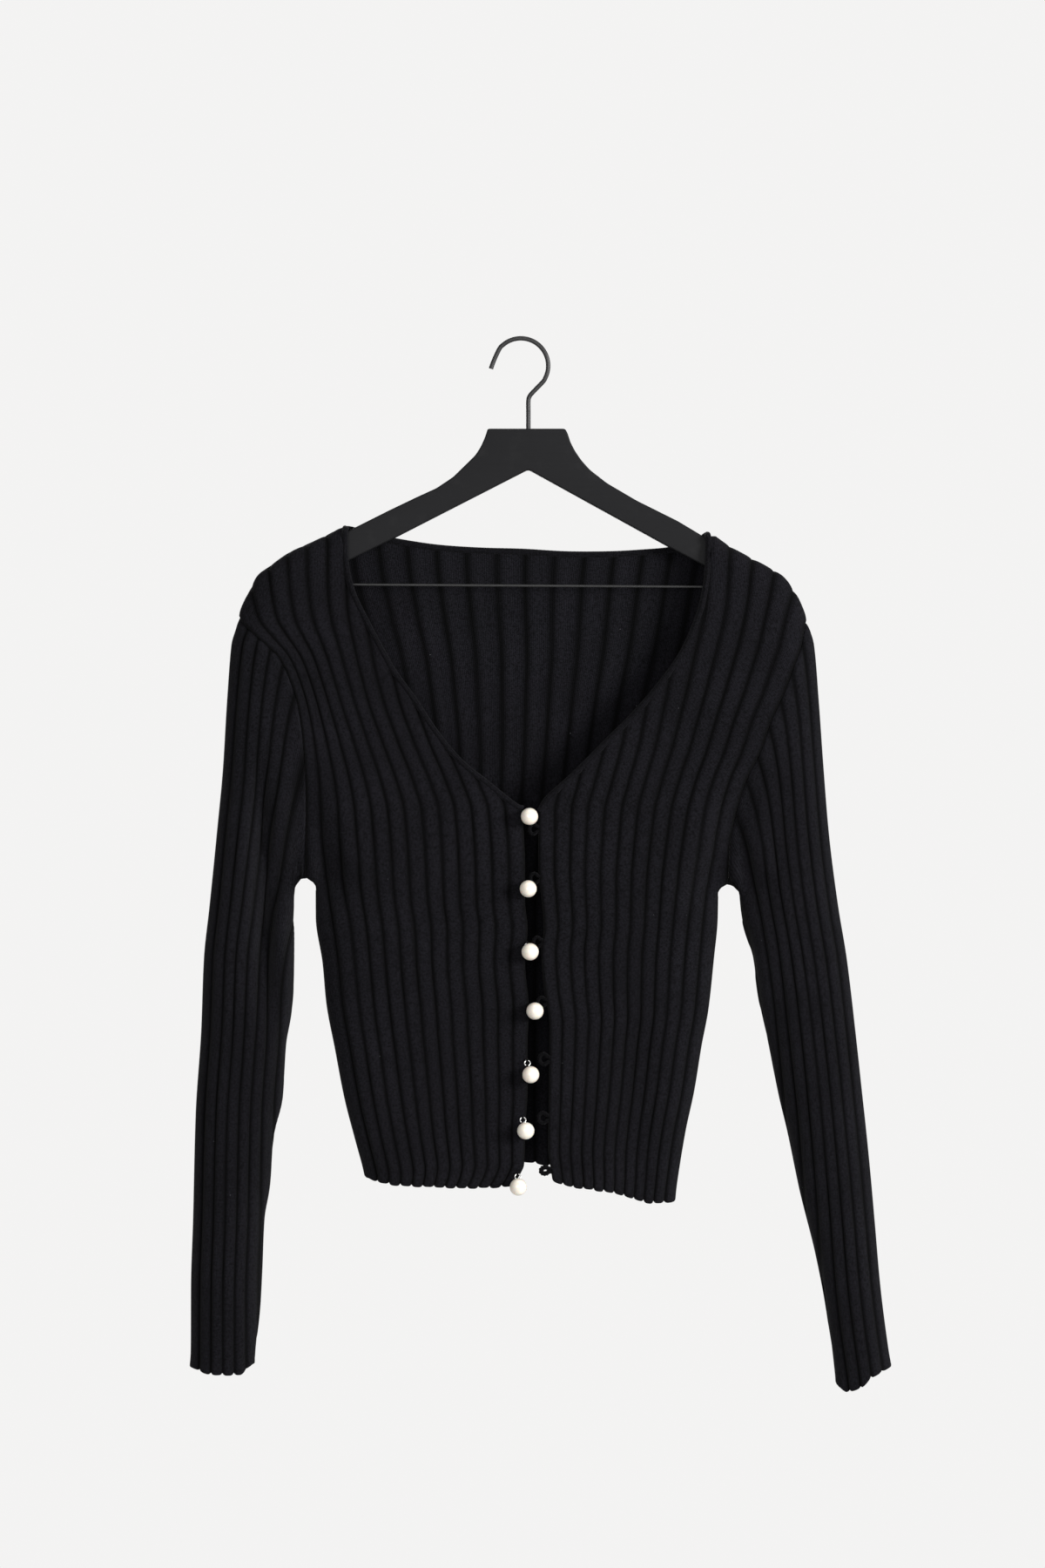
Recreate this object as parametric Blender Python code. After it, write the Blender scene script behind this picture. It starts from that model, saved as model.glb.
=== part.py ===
# A ribbed V-neck cardigan on a wooden hanger, hung by the hanger's wire hook.
#
# The frame: the origin is the inside top of the hook, where a peg or rail carries it.
# +Z is up and the fronts face -Y. The wearer's right is at -X.
# All sizes below are in millimetres, and MM turns them into metres.
# On each side, "out" is the distance from the hook's vertical line towards that sleeve.

import math

import bmesh
import bpy
from mathutils import Vector

MM = 0.001

# ---- Cloth ----------------------------------------------------------------------------

WALL_GROOVE = 1.4
RIB_RISE = 1.3
WALL_CROWN = WALL_GROOVE + RIB_RISE
SEAM_GAP = 0.3
ARMHOLE_GAP = 0.8
HEM_BUMP = 1.6
FRONT_RIBS = {"right": 13, "left": 12}
BACK_RIBS = 22
SLEEVE_RIBS = 14
CROWN_STARTS = 0.3
CROWN_ENDS = 0.7

UNDERARM_Z = {"right": -433.0, "left": -438.0}
TIP_Z = {"right": -223.0, "left": -228.0}
ARCH_HEIGHT = 12.0
BODY_ROUND = 40.0
SLEEVE_ROUND_OUT = 26.0
SLEEVE_ROUND_IN = 34.0
SHARPENS_OVER = 30.0
PINCH_HEIGHT = 120.0
PINCH_TOP_REACH = 15.0
MIDDLE_ROW_Z = -505.0


def table(columns, *rows):
    """Rows of numbers under named columns, as one list for each name."""
    return {name: [row[i] for row in rows] for i, name in enumerate(columns.split())}


# Half the depth of the hollow inside the cloth, front and back alike.
DEPTH = table(
    "z half",
    (-145, 9.5),
    (-215, 10.5),
    (-290, 13.5),
    (-360, 15.5),
    (-440, 16.0),
    (-560, 16.5),
    (-700, 17.5),
    (-850, 15.0),
)

# The outer line of the garment: over the shoulder and down the sleeve's outer fold.
OUTER_LINE = {
    "right": table(
        "z out",
        (-149.2, 142),
        (-154.5, 152.5),
        (-159.6, 163),
        (-164.5, 173.5),
        (-171, 187.5),
        (-182, 203),
        (-189, 212),
        (-203, 219.5),
        (-217, 226),
        (-231, 230),
        (-245, 234),
        (-287, 237),
        (-343, 240),
        (-399, 245.5),
        (-455, 251.5),
        (-497, 256),
        (-553, 258),
        (-623, 262.5),
        (-707, 264.5),
        (-763, 266.5),
        (-850, 267),
    ),
    "left": table(
        "z out",
        (-151, 146),
        (-154.6, 152.5),
        (-158.6, 158.5),
        (-163.2, 165),
        (-170, 176.5),
        (-181, 197.5),
        (-189, 210.5),
        (-203, 221.5),
        (-217, 228),
        (-231, 233),
        (-245, 237),
        (-287, 240.5),
        (-343, 244.5),
        (-399, 249),
        (-455, 256),
        (-497, 263),
        (-553, 270),
        (-623, 277.5),
        (-707, 285.5),
        (-763, 290.5),
        (-850, 302),
    ),
}

# The visible edge of the front neckline, from the foot of the V to the neck point.
FRONT_NECK = {
    "right": table(
        "z out",
        (-375, -3),
        (-372, 4),
        (-353, 28),
        (-337, 47.5),
        (-313.5, 67),
        (-290, 82.5),
        (-262.5, 102),
        (-225.5, 122),
        (-201.5, 133.5),
        (-178.5, 138.5),
        (-160, 139.5),
    ),
    "left": table(
        "z out",
        (-378, 13),
        (-366, 21),
        (-348.5, 40.5),
        (-319, 70),
        (-299.5, 89.5),
        (-274.5, 111),
        (-248.5, 129),
        (-219, 141.5),
        (-197.5, 146.5),
        (-180, 148.2),
        (-164, 148.8),
    ),
}

# The visible edge of the back neckline, from the wearer's right to their left.
BACK_NECK = table(
    "x z",
    (-140, -151),
    (-117.5, -155.5),
    (-101, -159),
    (-68.5, -164),
    (-33.5, -166.5),
    (1.5, -167.5),
    (36.5, -169.5),
    (71.5, -169.5),
    (99.5, -168),
    (120.5, -166),
    (141.5, -161),
    (149, -156),
)

# The armhole seam. Its rows above the shoulder tip only guide the ribs of the shoulder.
ARMHOLE = {
    "right": table(
        "z out",
        (-147, 234),
        (-182, 233),
        (-223, 226),
        (-232, 219),
        (-241.5, 208.5),
        (-255, 194.5),
        (-272.5, 185.5),
        (-295.5, 178.5),
        (-325.5, 174.5),
        (-364, 172.5),
        (-399, 172.5),
        (-433, 173.5),
    ),
    "left": table(
        "z out",
        (-147, 243),
        (-182, 240),
        (-228, 228.5),
        (-246.5, 225),
        (-263, 219),
        (-283.5, 211.5),
        (-305, 201.5),
        (-330.5, 192.5),
        (-356.5, 180),
        (-383.5, 172),
        (-407.5, 168),
        (-438, 167),
    ),
}

# Where the last rib of each front would run if the armhole didn't cut it.
RIB_GUIDE = {
    "right": table(
        "z out",
        (-147, 234),
        (-182, 233),
        (-217, 226),
        (-252, 212),
        (-287, 199),
        (-322, 187),
        (-357, 178),
        (-399, 172.5),
    ),
    "left": table(
        "z out",
        (-147, 243),
        (-182, 240),
        (-217, 234),
        (-252, 222),
        (-287, 207),
        (-322, 193),
        (-357, 180),
        (-399, 169.4),
    ),
}

# The side seam, from the underarm to the hem.
SIDE_SEAM = {
    "right": table(
        "z out",
        (-433, 164),
        (-464, 164),
        (-501, 158.5),
        (-533, 155.5),
        (-570, 148.5),
        (-609, 141),
        (-640, 133),
        (-672, 124),
    ),
    "left": table(
        "z out",
        (-438, 158),
        (-466, 157.5),
        (-497, 154.5),
        (-538, 150),
        (-567, 144.5),
        (-603.5, 138.5),
        (-636, 131.5),
        (-672, 125.5),
        (-693, 122.5),
    ),
}

# The sleeve's inner fold, from the underarm to the cuff.
SLEEVE_INNER = {
    "right": table(
        "z out",
        (-433, 185),
        (-523, 185),
        (-539, 186.5),
        (-567, 191.5),
        (-609, 194),
        (-636, 200),
        (-679, 204),
        (-707, 209),
        (-749, 211),
        (-777, 212.5),
        (-822, 217.5),
    ),
    "left": table(
        "z out",
        (-438, 177),
        (-469, 181),
        (-497, 189.5),
        (-525, 193),
        (-567, 202),
        (-609, 210.5),
        (-636, 217),
        (-683, 227),
        (-735, 240),
        (-777, 248),
        (-840, 256),
    ),
}

# The front opening edges. Rows above the V only guide the ribs that run into the neckline.
OPENING_EDGE = {
    "right": table(
        "z out",
        (-147, 28),
        (-182, 31.5),
        (-217, 38),
        (-252, 40),
        (-287, 36),
        (-322, 24),
        (-357, 7),
        (-378, -1),
        (-427, -3.5),
        (-452, -3.5),
        (-472, -5.5),
        (-501, -3.5),
        (-538, -6.5),
        (-566, -5.5),
        (-601, -5.5),
        (-636, -3.5),
        (-665, -1.5),
        (-680, 3.5),
    ),
    "left": table(
        "z out",
        (-147, 20),
        (-182, 22),
        (-217, 26),
        (-252, 25),
        (-287, 27),
        (-322, 26),
        (-357, 19),
        (-378, 14),
        (-427, 14.5),
        (-452, 17),
        (-472, 18.5),
        (-491, 16.5),
        (-523, 19),
        (-550, 23),
        (-609, 22.5),
        (-648, 22),
        (-676, 25.5),
    ),
}

# The hem's height across each front (share: 0 at the opening, 1 at the side) and the back.
FRONT_HEM = {
    "right": table("share z", (0, -678), (0.2, -680), (0.6, -679), (0.9, -676), (1, -671)),
    "left": table("share z", (0, -674), (0.15, -679), (0.45, -683), (0.85, -692), (1, -691)),
}
BACK_HEM = table("share z", (0, -671), (0.2, -670), (0.5, -661), (0.8, -681), (1, -691))

# The cuff's height round each sleeve (share: 0 at the outer fold, 1 at the inner fold).
CUFF = {
    "right": table("share z", (0, -825), (0.4, -830), (0.8, -830), (1, -822)),
    "left": table("share z", (0, -825), (0.35, -832), (0.6, -841), (0.85, -844), (1, -838)),
}

# How far the back's ribs spread at its middle, against an even spacing.
BACK_SPREAD = table("z spread", (-150, 1.3), (-220, 1.25), (-320, 1.08), (-440, 1.0), (-700, 1.0))

# Soft folds: a ridge where rise is above 0, a valley where it is below.
FOLD_COLUMNS = "z out width rise"
FOLDS = (
    ("right", "sleeve", table(FOLD_COLUMNS, (-340, 209, 9, 0), (-430, 206, 10, -5), (-540, 203, 9, 0))),
    ("right", "sleeve", table(FOLD_COLUMNS, (-420, 192, 7, 0), (-480, 190, 7, 2.5), (-560, 196, 7, 0))),
    ("right", "body", table(FOLD_COLUMNS, (-375, 166, 8, 0), (-410, 163, 8, 2.5), (-440, 160, 8, 0))),
    ("right", "body", table(FOLD_COLUMNS, (-470, 120, 22, 0), (-560, 110, 22, -2), (-672, 95, 20, -1))),
    ("left", "sleeve", table(FOLD_COLUMNS, (-480, 204, 9, 0), (-560, 208, 9, -3.5), (-640, 224, 9, 0))),
    ("left", "sleeve", table(FOLD_COLUMNS, (-380, 206, 10, 0), (-430, 203, 10, -2.5), (-480, 200, 9, 0))),
    ("left", "body", table(FOLD_COLUMNS, (-375, 160, 8, 0), (-405, 157, 8, 2.5), (-440, 153, 8, 0))),
    ("left", "body", table(FOLD_COLUMNS, (-520, 92, 18, 0), (-610, 90, 20, -5), (-694, 92, 20, -4))),
)

# ---- Neck binding, pearls, eyes and loops ---------------------------------------------

BINDING_DIAMETER = 4.4
NECK_BUMP = 1.3

PEARL_DIAMETER = 13.8
PEARLS = table(
    "x z loop_z",
    (7, -383, -393),
    (6, -441, -433),
    (7.5, -491.5, -484),
    (11.4, -539, -532),
    (8, -590, -578),
    (4, -635, -625),
    (-2, -680, -667),
)
EYE_RADIUS = 2.6
EYE_WIRE = 0.5
EYE_RISE = 9.2
EYE_INSET = 2.8
EYE_REACH = 7.2
LOOP_HALF_WIDTH = 4.0
LOOP_HALF_HEIGHT = 4.8
LOOP_YARN = 0.9

# ---- Hanger ---------------------------------------------------------------------------

HANGER_THICKNESS = 12.0
HANGER_EDGE = 4.0
HANGER_OUTLINE = table(
    "x z",
    (-24, -71.3),
    (33.5, -71.3),
    (37, -74.8),
    (44, -88.5),
    (53.5, -102.3),
    (69.5, -115),
    (93, -128.8),
    (126.5, -145.5),
    (149, -159),
    (168, -169.4),
    (180, -176.5),
    (196, -187),
    (205, -196.5),
    (206.5, -203.5),
    (202, -207.5),
    (190, -202.5),
    (149, -182),
    (118.5, -166),
    (6, -104),
    (-100.5, -158.5),
    (-138.5, -177),
    (-182, -198),
    (-195, -203.5),
    (-200, -200),
    (-198.5, -193),
    (-190, -182.5),
    (-176, -172.5),
    (-163, -165),
    (-149, -158.8),
    (-133, -150.4),
    (-105.5, -136.6),
    (-84, -126.3),
    (-68, -119),
    (-54.5, -110),
    (-42.5, -98.3),
    (-33, -85.6),
    (-27, -74.8),
)

HOOK_WIRE = 3.5
HOOK_RADIUS = 21.95
HOOK_CENTRE_Z = -(HOOK_RADIUS - HOOK_WIRE / 2)
HOOK_STARTS = 188.0
HOOK_ENDS = -36.0
STEM_X = 6.1
STEM_BEND_Z = -47.6
STEM_BOTTOM_Z = -71.0
BAR_WIRE = 2.1
BAR = table("x z", (-175, -196.2), (178, -198.4))


# ---- Reading the tables ---------------------------------------------------------------


def smooth_at(keys, values, key):
    """The value at key, on a smooth curve through the rows that never overshoots them."""
    if keys[0] > keys[-1]:
        keys, values = keys[::-1], values[::-1]
    if key <= keys[0]:
        return values[0]
    if key >= keys[-1]:
        return values[-1]
    slopes = [(values[i + 1] - values[i]) / (keys[i + 1] - keys[i]) for i in range(len(keys) - 1)]

    def tangent(i):
        if i in (0, len(keys) - 1):
            return slopes[min(i, len(slopes) - 1)]
        before, after = slopes[i - 1], slopes[i]
        return 0.0 if before * after <= 0 else 2 * before * after / (before + after)

    i = max(n for n in range(len(keys) - 1) if keys[n] <= key)
    step = keys[i + 1] - keys[i]
    t = (key - keys[i]) / step
    return (
        values[i] * (1 + 2 * t) * (1 - t) ** 2
        + values[i + 1] * t * t * (3 - 2 * t)
        + step * (tangent(i) * t * (1 - t) ** 2 - tangent(i + 1) * t * t * (1 - t))
    )


def read(rows, column, key, by="z"):
    return smooth_at(rows[by], rows[column], key)


def blend(a, b, t):
    return a + (b - a) * t


def rounded(t):
    """A quarter circle: 0 at 0, rising steeply, and 1 from 1 on."""
    t = min(max(t, 0.0), 1.0)
    return math.sqrt(1 - (1 - t) ** 2)


def fold_shape(t, sharp):
    """From 0 at a fold to 1 well inside it: a soft valley, or a full round where sharp is 1."""
    soft = (1 - math.cos(math.pi * min(max(t, 0.0), 1.0))) / 2
    return blend(soft, rounded(t), min(max(sharp, 0.0), 1.0))


def moved_line(points, distance):
    """The line of (out, z) points, moved sideways to its right as it runs."""
    moved = []
    for i, (x, z) in enumerate(points):
        x0, z0 = points[max(i - 1, 0)]
        x1, z1 = points[min(i + 1, len(points) - 1)]
        length = math.hypot(x1 - x0, z1 - z0)
        moved.append((x + (z1 - z0) / length * distance, z - (x1 - x0) / length * distance))
    return moved


# ---- The form of the cloth ------------------------------------------------------------
# Each function below gives the plain inner face of the cloth, from which the ribs rise.


def inner_outline(side):
    """The outer line, moved in by the wall, as a table."""
    rows = OUTER_LINE[side]
    points = moved_line(list(zip(rows["out"], rows["z"])), WALL_CROWN)
    return {"out": [x for x, _ in points], "z": [z for _, z in points]}


INNER_OUTLINE = {side: inner_outline(side) for side in OUTER_LINE}


def outline_out(side, z):
    return read(INNER_OUTLINE[side], "out", z)


def armhole_out(side, z):
    """The armhole seam, which starts on the outline at the shoulder tip."""
    out = read(ARMHOLE[side], "out", z)
    below = TIP_Z[side] - z
    return out if below < 0 else min(out, outline_out(side, z) - 0.3 * below)


def arched(side, rows, z):
    """A fold line below the underarm, which starts with a round arch at the armhole seam."""
    share = rounded((UNDERARM_Z[side] - z) / ARCH_HEIGHT)
    return blend(armhole_out(side, UNDERARM_Z[side]), read(rows, "out", z), share)


def side_out(side, z):
    """The panels' outer edge: the armhole seam, then the side seam."""
    if z >= UNDERARM_Z[side]:
        return armhole_out(side, z)
    return arched(side, SIDE_SEAM[side], z)


def sleeve_inner_out(side, z):
    if z >= UNDERARM_Z[side]:
        return armhole_out(side, z)
    return arched(side, SLEEVE_INNER[side], z)


def fold_rise(side, piece, out, z):
    total = 0.0
    for fold_side, fold_piece, rows in FOLDS:
        if (fold_side, fold_piece) == (side, piece) and rows["z"][-1] <= z <= rows["z"][0]:
            across = (out - read(rows, "out", z)) / read(rows, "width", z)
            total += read(rows, "rise", z) * math.exp(-across * across)
    return total


def half_depth(side, piece, out, z):
    """How far the inner face of the cloth lies in front of the middle plane, and behind it."""
    depth = read(DEPTH, "half", z)
    to_outline = outline_out(side, z) - out
    sharp = (UNDERARM_Z[side] - z) / SHARPENS_OVER
    if z >= UNDERARM_Z[side]:
        height = min((z - UNDERARM_Z[side]) / PINCH_HEIGHT, 1)
        lifted = rounded(height)
        reach = blend(BODY_ROUND if piece == "body" else SLEEVE_ROUND_IN, PINCH_TOP_REACH, height)
        near_seam = fold_shape(abs(armhole_out(side, z) - out) / reach, sharp)
        shape = rounded(to_outline / SLEEVE_ROUND_OUT) * (1 - (1 - lifted) * (1 - near_seam))
    elif piece == "body":
        shape = fold_shape((side_out(side, z) - out) / BODY_ROUND, sharp)
    else:
        to_inner = (out - sleeve_inner_out(side, z)) / SLEEVE_ROUND_IN
        shape = rounded(to_outline / SLEEVE_ROUND_OUT) * fold_shape(to_inner, sharp)
    return shape * (depth + fold_rise(side, piece, out, z))


def sign_of(side):
    return -1 if side == "right" else 1


def front_point(side, share, z):
    edge, limit = read(OPENING_EDGE[side], "out", z), side_out(side, z)
    rows = RIB_GUIDE[side]
    guide = read(rows, "out", z) if z > rows["z"][-1] else limit
    # Only the outer half's ribs are drawn in towards the armhole.
    pulled = max(share - 0.5, 0) / 0.5
    out = blend(edge, guide, share) + (limit - guide) * pulled**2
    return Vector((sign_of(side) * out, -half_depth(side, "body", out, z) - SEAM_GAP / 2, z))


def back_point(share, z):
    left, right = side_out("left", z), -side_out("right", z)
    spread = read(BACK_SPREAD, "spread", z)
    across = 2 * share - 1
    across = spread * across + (1 - spread) * across**3
    x = (left + right) / 2 + across * (left - right) / 2
    # Across the middle the two sides' depths are mixed, so that no step shows between them.
    mix = min(max(x / 60 + 0.5, 0), 1)
    depths = [half_depth(side, "body", max(sign_of(side) * x, 0), z) for side in ("right", "left")]
    return Vector((x, blend(depths[0], depths[1], mix) + SEAM_GAP / 2, z))


def seam_share(side, z):
    """The share of the sleeve's ribs, from its outer fold, that leave the armhole above z."""
    t = (TIP_Z[side] - z) / (TIP_Z[side] - UNDERARM_Z[side])
    return math.sin(math.pi / 2 * min(max(t, 0), 1) ** 0.75)


def seam_z(side, share):
    t = (2 / math.pi * math.asin(min(share, 1))) ** (1 / 0.75)
    return blend(TIP_Z[side], UNDERARM_Z[side], t)


def sleeve_point(side, face, share, z):
    """A point of the sleeve at a share of the way from its outer to its inner fold."""
    share = min(share / max(seam_share(side, z), 1e-6), 1)
    eased = 0.75 * share + 0.25 * (1 - math.cos(math.pi * share)) / 2
    out = blend(outline_out(side, z), sleeve_inner_out(side, z), eased)
    return Vector((sign_of(side) * out, face * half_depth(side, "sleeve", out, z), z))


# ---- Meshes ---------------------------------------------------------------------------


def rib_height(position):
    """The rib's relief: 0 in the groove at each whole number, 1 on the flat crown between."""
    part = position % 1
    return min(part / CROWN_STARTS, (1 - part) / (1 - CROWN_ENDS), 1.0)


def rib_columns(ribs, extra=()):
    """(share, height, inner too) for each column of points across a piece."""
    columns = [(share * ribs, rib_height(share * ribs), True) for share in extra]
    placed = [position for position, _, _ in columns]
    for rib in range(ribs + 1):
        for position, in_inner in ((rib, True), (rib + CROWN_STARTS, False), (rib + CROWN_ENDS, False)):
            clear = all(abs(position - other) > 0.1 for other in placed)
            if position <= ribs and (clear or position in (0, ribs)):
                columns.append((position, rib_height(position), in_inner))
    return [(position / ribs, height, inner) for position, height, inner in sorted(columns)]


def row_heights(top, middle, hem):
    """Rows down a panel: close together over the shoulder and about the underarm."""
    rows = [top - drop for drop in (0, 0.8, 2.6, 6, 12)]
    start, end = rows[-1], middle + 9
    rows += [blend(start, end, share) for share in (0.14, 0.3, 0.48, 0.66, 0.84, 1)]
    rows += [middle + 3, middle, middle - 2.5, middle - 9]
    start = rows[-1]
    return rows + [blend(start, hem, share) for share in (0.2, 0.42, 0.64, 0.84, 1)]


ROWS_TO_UNDERARM = 13


def zip_faces(bm, first, second):
    """Triangles between two rows of (share, vertex) that need not match in number."""
    i = j = 0
    while i < len(first) - 1 or j < len(second) - 1:
        take_first = j == len(second) - 1
        if i < len(first) - 1 and not take_first:
            take_first = first[i + 1][0] <= second[j + 1][0]
        if take_first:
            corners = (first[i][1], first[i + 1][1], second[j][1])
            i += 1
        else:
            corners = (first[i][1], second[j + 1][1], second[j][1])
            j += 1
        if len(set(corners)) == 3:
            bm.faces.new(corners)


def rows_of_faces(bm, rows):
    for above, below in zip(rows, rows[1:]):
        for i in range(len(above) - 1):
            bm.faces.new((above[i][1], above[i + 1][1], below[i + 1][1], below[i][1]))


def normal_at(point_of, share, z, face):
    """The direction out of the cloth at a point off its folds. Face is -1 in front, 1 behind."""
    near, far = max(share - 0.004, 0), min(share + 0.004, 1)
    across = point_of(far, z) - point_of(near, z)
    down = point_of(share, z - 0.05) - point_of(share, z)
    normal = across.cross(down).normalized()
    return normal if normal.y * face > 0 else -normal


def fold_normal(line_of, side, z, inwards=False):
    """The direction out of a fold that runs in the middle plane along line_of(side, z)."""
    slope = (line_of(side, z) - line_of(side, z - 0.02)) / 0.02
    normal = Vector((sign_of(side), 0, -slope)).normalized()
    return -normal if inwards else normal


def finish(bm, name, material, collection, smooth=False):
    bmesh.ops.recalc_face_normals(bm, faces=bm.faces)
    bmesh.ops.scale(bm, vec=(MM, MM, MM), verts=bm.verts)
    mesh = bpy.data.meshes.new(name)
    bm.to_mesh(mesh)
    bm.free()
    obj = bpy.data.objects.new(name, mesh)
    collection.objects.link(obj)
    mesh.materials.append(material)
    if smooth:
        mesh.shade_smooth()
    return obj


def panel_mesh(point_of, columns, face, side_of, levels_of):
    """A ribbed wall between its top edge and its hem: outer grid, inner grid and rims."""
    bm = bmesh.new()
    outer, inner, top_edge = [], [], []
    for share, height, in_inner in columns:
        side = side_of(share)
        levels = levels_of(share)
        for row, z in enumerate(levels):
            if len(outer) <= row:
                outer.append([])
                inner.append([])
            base = point_of(share, z)
            on_shoulder = row == 0 and abs(base.y) < 2.0
            on_side = row >= ROWS_TO_UNDERARM - 1 and abs(base.y) < SEAM_GAP
            if on_shoulder:
                normal = fold_normal(outline_out, side, z)
            elif on_side:
                normal = fold_normal(side_out, side, z)
            else:
                normal = normal_at(point_of, share, z, face)
            if on_shoulder or on_side:
                base.y = face * SEAM_GAP / 2
            tip = base + normal * (WALL_GROOVE + RIB_RISE * height)
            if z == levels[-1]:
                tip.z -= HEM_BUMP * height
            outer[row].append((share, bm.verts.new(tip)))
            if in_inner or row == 0:
                inner[row].append((share, bm.verts.new(base)))
            if row == 0:
                top_edge.append((base + normal * WALL_GROOVE / 2, normal))
    rows_of_faces(bm, outer)
    zip_faces(bm, inner[0], inner[1])
    rows_of_faces(bm, inner[1:])
    for edge in (0, -1):
        zip_faces(bm, outer[edge], inner[edge])
        rows_of_faces(bm, [[row[edge] for row in outer], [row[edge] for row in inner]])
    return bm, top_edge


def top_finder(point_of, boundary, sign=1):
    """Gives the height at which a rib line meets the panel's top edge."""
    outs = [out for out, _ in boundary]
    heights = [z for _, z in boundary]

    def top_of(share):
        high, low = -140.0, -420.0
        for _ in range(40):
            z = (high + low) / 2
            out = sign * point_of(share, z).x
            if z > smooth_at(outs, heights, out):
                high = z
            else:
                low = z
        return low

    return top_of


def shoulder_line(side, neck_out):
    """(out, z) of the shoulder seam, from the neck's corner to just past the tip."""
    rows = INNER_OUTLINE[side]
    corner = (neck_out, smooth_at(rows["out"], rows["z"], neck_out))
    line = [(x, z) for x, z in zip(rows["out"], rows["z"]) if x > neck_out + 1]
    return [corner] + [(x, z) for x, z in line if z > TIP_Z[side] - 30]


def front_boundary(side):
    """(out, z) of a front's neck edge and of its shoulder seam, which starts at the corner."""
    neck = FRONT_NECK[side]
    points = moved_line(list(zip(neck["out"], neck["z"])), BINDING_DIAMETER + SEAM_GAP)
    return points, shoulder_line(side, points[-1][0] + 0.4)


def binding_path(top_edge, outward):
    """The middle of the binding, beside a panel's edge and as far from it at every point."""
    path = []
    for i, (place, normal) in enumerate(top_edge):
        ahead = top_edge[min(i + 1, len(top_edge) - 1)][0]
        behind = top_edge[max(i - 1, 0)][0]
        away = normal.cross(ahead - behind).normalized()
        if away.dot(outward(place)) < 0:
            away = -away
        lift = NECK_BUMP if abs(place.y) < 8.5 else 0
        path.append(place + away * (BINDING_DIAMETER / 2 + 2 * SEAM_GAP) + normal * lift)
    return path


def neck_corner(side):
    """Where the front and back bindings meet, on top of the hanger's arm."""
    out, z = front_boundary(side)[1][0]
    return Vector((sign_of(side) * (out - 2.5), 0, z + 1.5))


def shoulder_turn(near, top, face):
    """A binding's last points: over the shoulder and square into its seam at the corner."""
    # In front it stays clear of the arm's face until it is above the arm's edge.
    bends = ((0.5, 0.5, 8.9), (0.85, 0.85, 6.3)) if face < 0 else ((0.6, 0.8, 5.2),)
    turn = []
    for across, risen, depth in bends:
        x, z = blend(near.x, top.x, across), blend(near.z, top.z, risen)
        turn.append(Vector((x, face * depth, z)))
    return turn + [Vector((top.x, face * y, top.z)) for y in (1.5, SEAM_GAP / 2)]


def share_where(is_past):
    """The share of a panel's width at which is_past turns true."""
    low, high = 0.0, 1.0
    for _ in range(40):
        middle = (low + high) / 2
        if is_past(middle):
            high = middle
        else:
            low = middle
    return high


def make_front(side, material, collection):
    def point_of(share, z):
        return front_point(side, share, z)

    neck_edge, shoulder = front_boundary(side)
    top_of = top_finder(point_of, neck_edge + shoulder, sign_of(side))
    corner_out, corner_z = shoulder[0]
    edge_outs, edge_heights = zip(*(neck_edge + shoulder[:1]))
    corners = []
    for drop in (0.2, 2.5, 6, 12, 20):
        z = corner_z - drop
        out = smooth_at(edge_heights, edge_outs, z)
        corners.append(share_where(lambda at, x=out, z=z: sign_of(side) * point_of(at, z).x > x))

    def levels_of(share):
        top = TIP_Z[side] if share == 1 else top_of(share)
        middle = blend(MIDDLE_ROW_Z, UNDERARM_Z[side], share**0.8)
        return row_heights(top, middle, read(FRONT_HEM[side], "z", share, by="share"))

    columns = rib_columns(FRONT_RIBS[side], corners)
    bm, top_edge = panel_mesh(point_of, columns, -1, lambda _: side, levels_of)
    finish(bm, f"front_{side}", material, collection)

    neck = [(place, normal) for place, normal in top_edge if sign_of(side) * place.x < corner_out + 0.1]
    path = binding_path(neck, lambda place: Vector((-sign_of(side), 0, 0.3)))
    path = [place for place in path if place.y < -8]
    path += shoulder_turn(path[-1], neck_corner(side), -1)
    make_wire(f"neck_binding_{side}", path, BINDING_DIAMETER, material, collection)


def make_back(material, collection):
    neck = list(zip(BACK_NECK["x"], BACK_NECK["z"]))
    neck = moved_line(neck, BINDING_DIAMETER + SEAM_GAP)
    ends = {"right": -neck[0][0] + 4, "left": neck[-1][0] + 4}
    lines = {side: shoulder_line(side, ends[side]) for side in ends}
    boundary = [(-out, z) for out, z in lines["right"][::-1]] + neck + lines["left"]
    top_of = top_finder(back_point, boundary)
    corners = []
    for side in ("right", "left"):
        corner_out, corner_z = front_boundary(side)[1][0]
        for inwards in (-3, 0, 3, 7, 12):
            x = sign_of(side) * (corner_out - inwards)
            corners.append(share_where(lambda at, x=x, z=corner_z: back_point(at, z).x > x))

    def side_of(share):
        return "right" if share < 0.5 else "left"

    def levels_of(share):
        side = side_of(share)
        top = TIP_Z[side] if share in (0, 1) else top_of(share)
        middle = blend(-480.0, UNDERARM_Z[side], abs(2 * share - 1) ** 2)
        return row_heights(top, middle, read(BACK_HEM, "z", share, by="share"))

    columns = rib_columns(BACK_RIBS, corners)
    bm, top_edge = panel_mesh(back_point, columns, 1, side_of, levels_of)
    finish(bm, "back", material, collection)
    return top_edge


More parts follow.
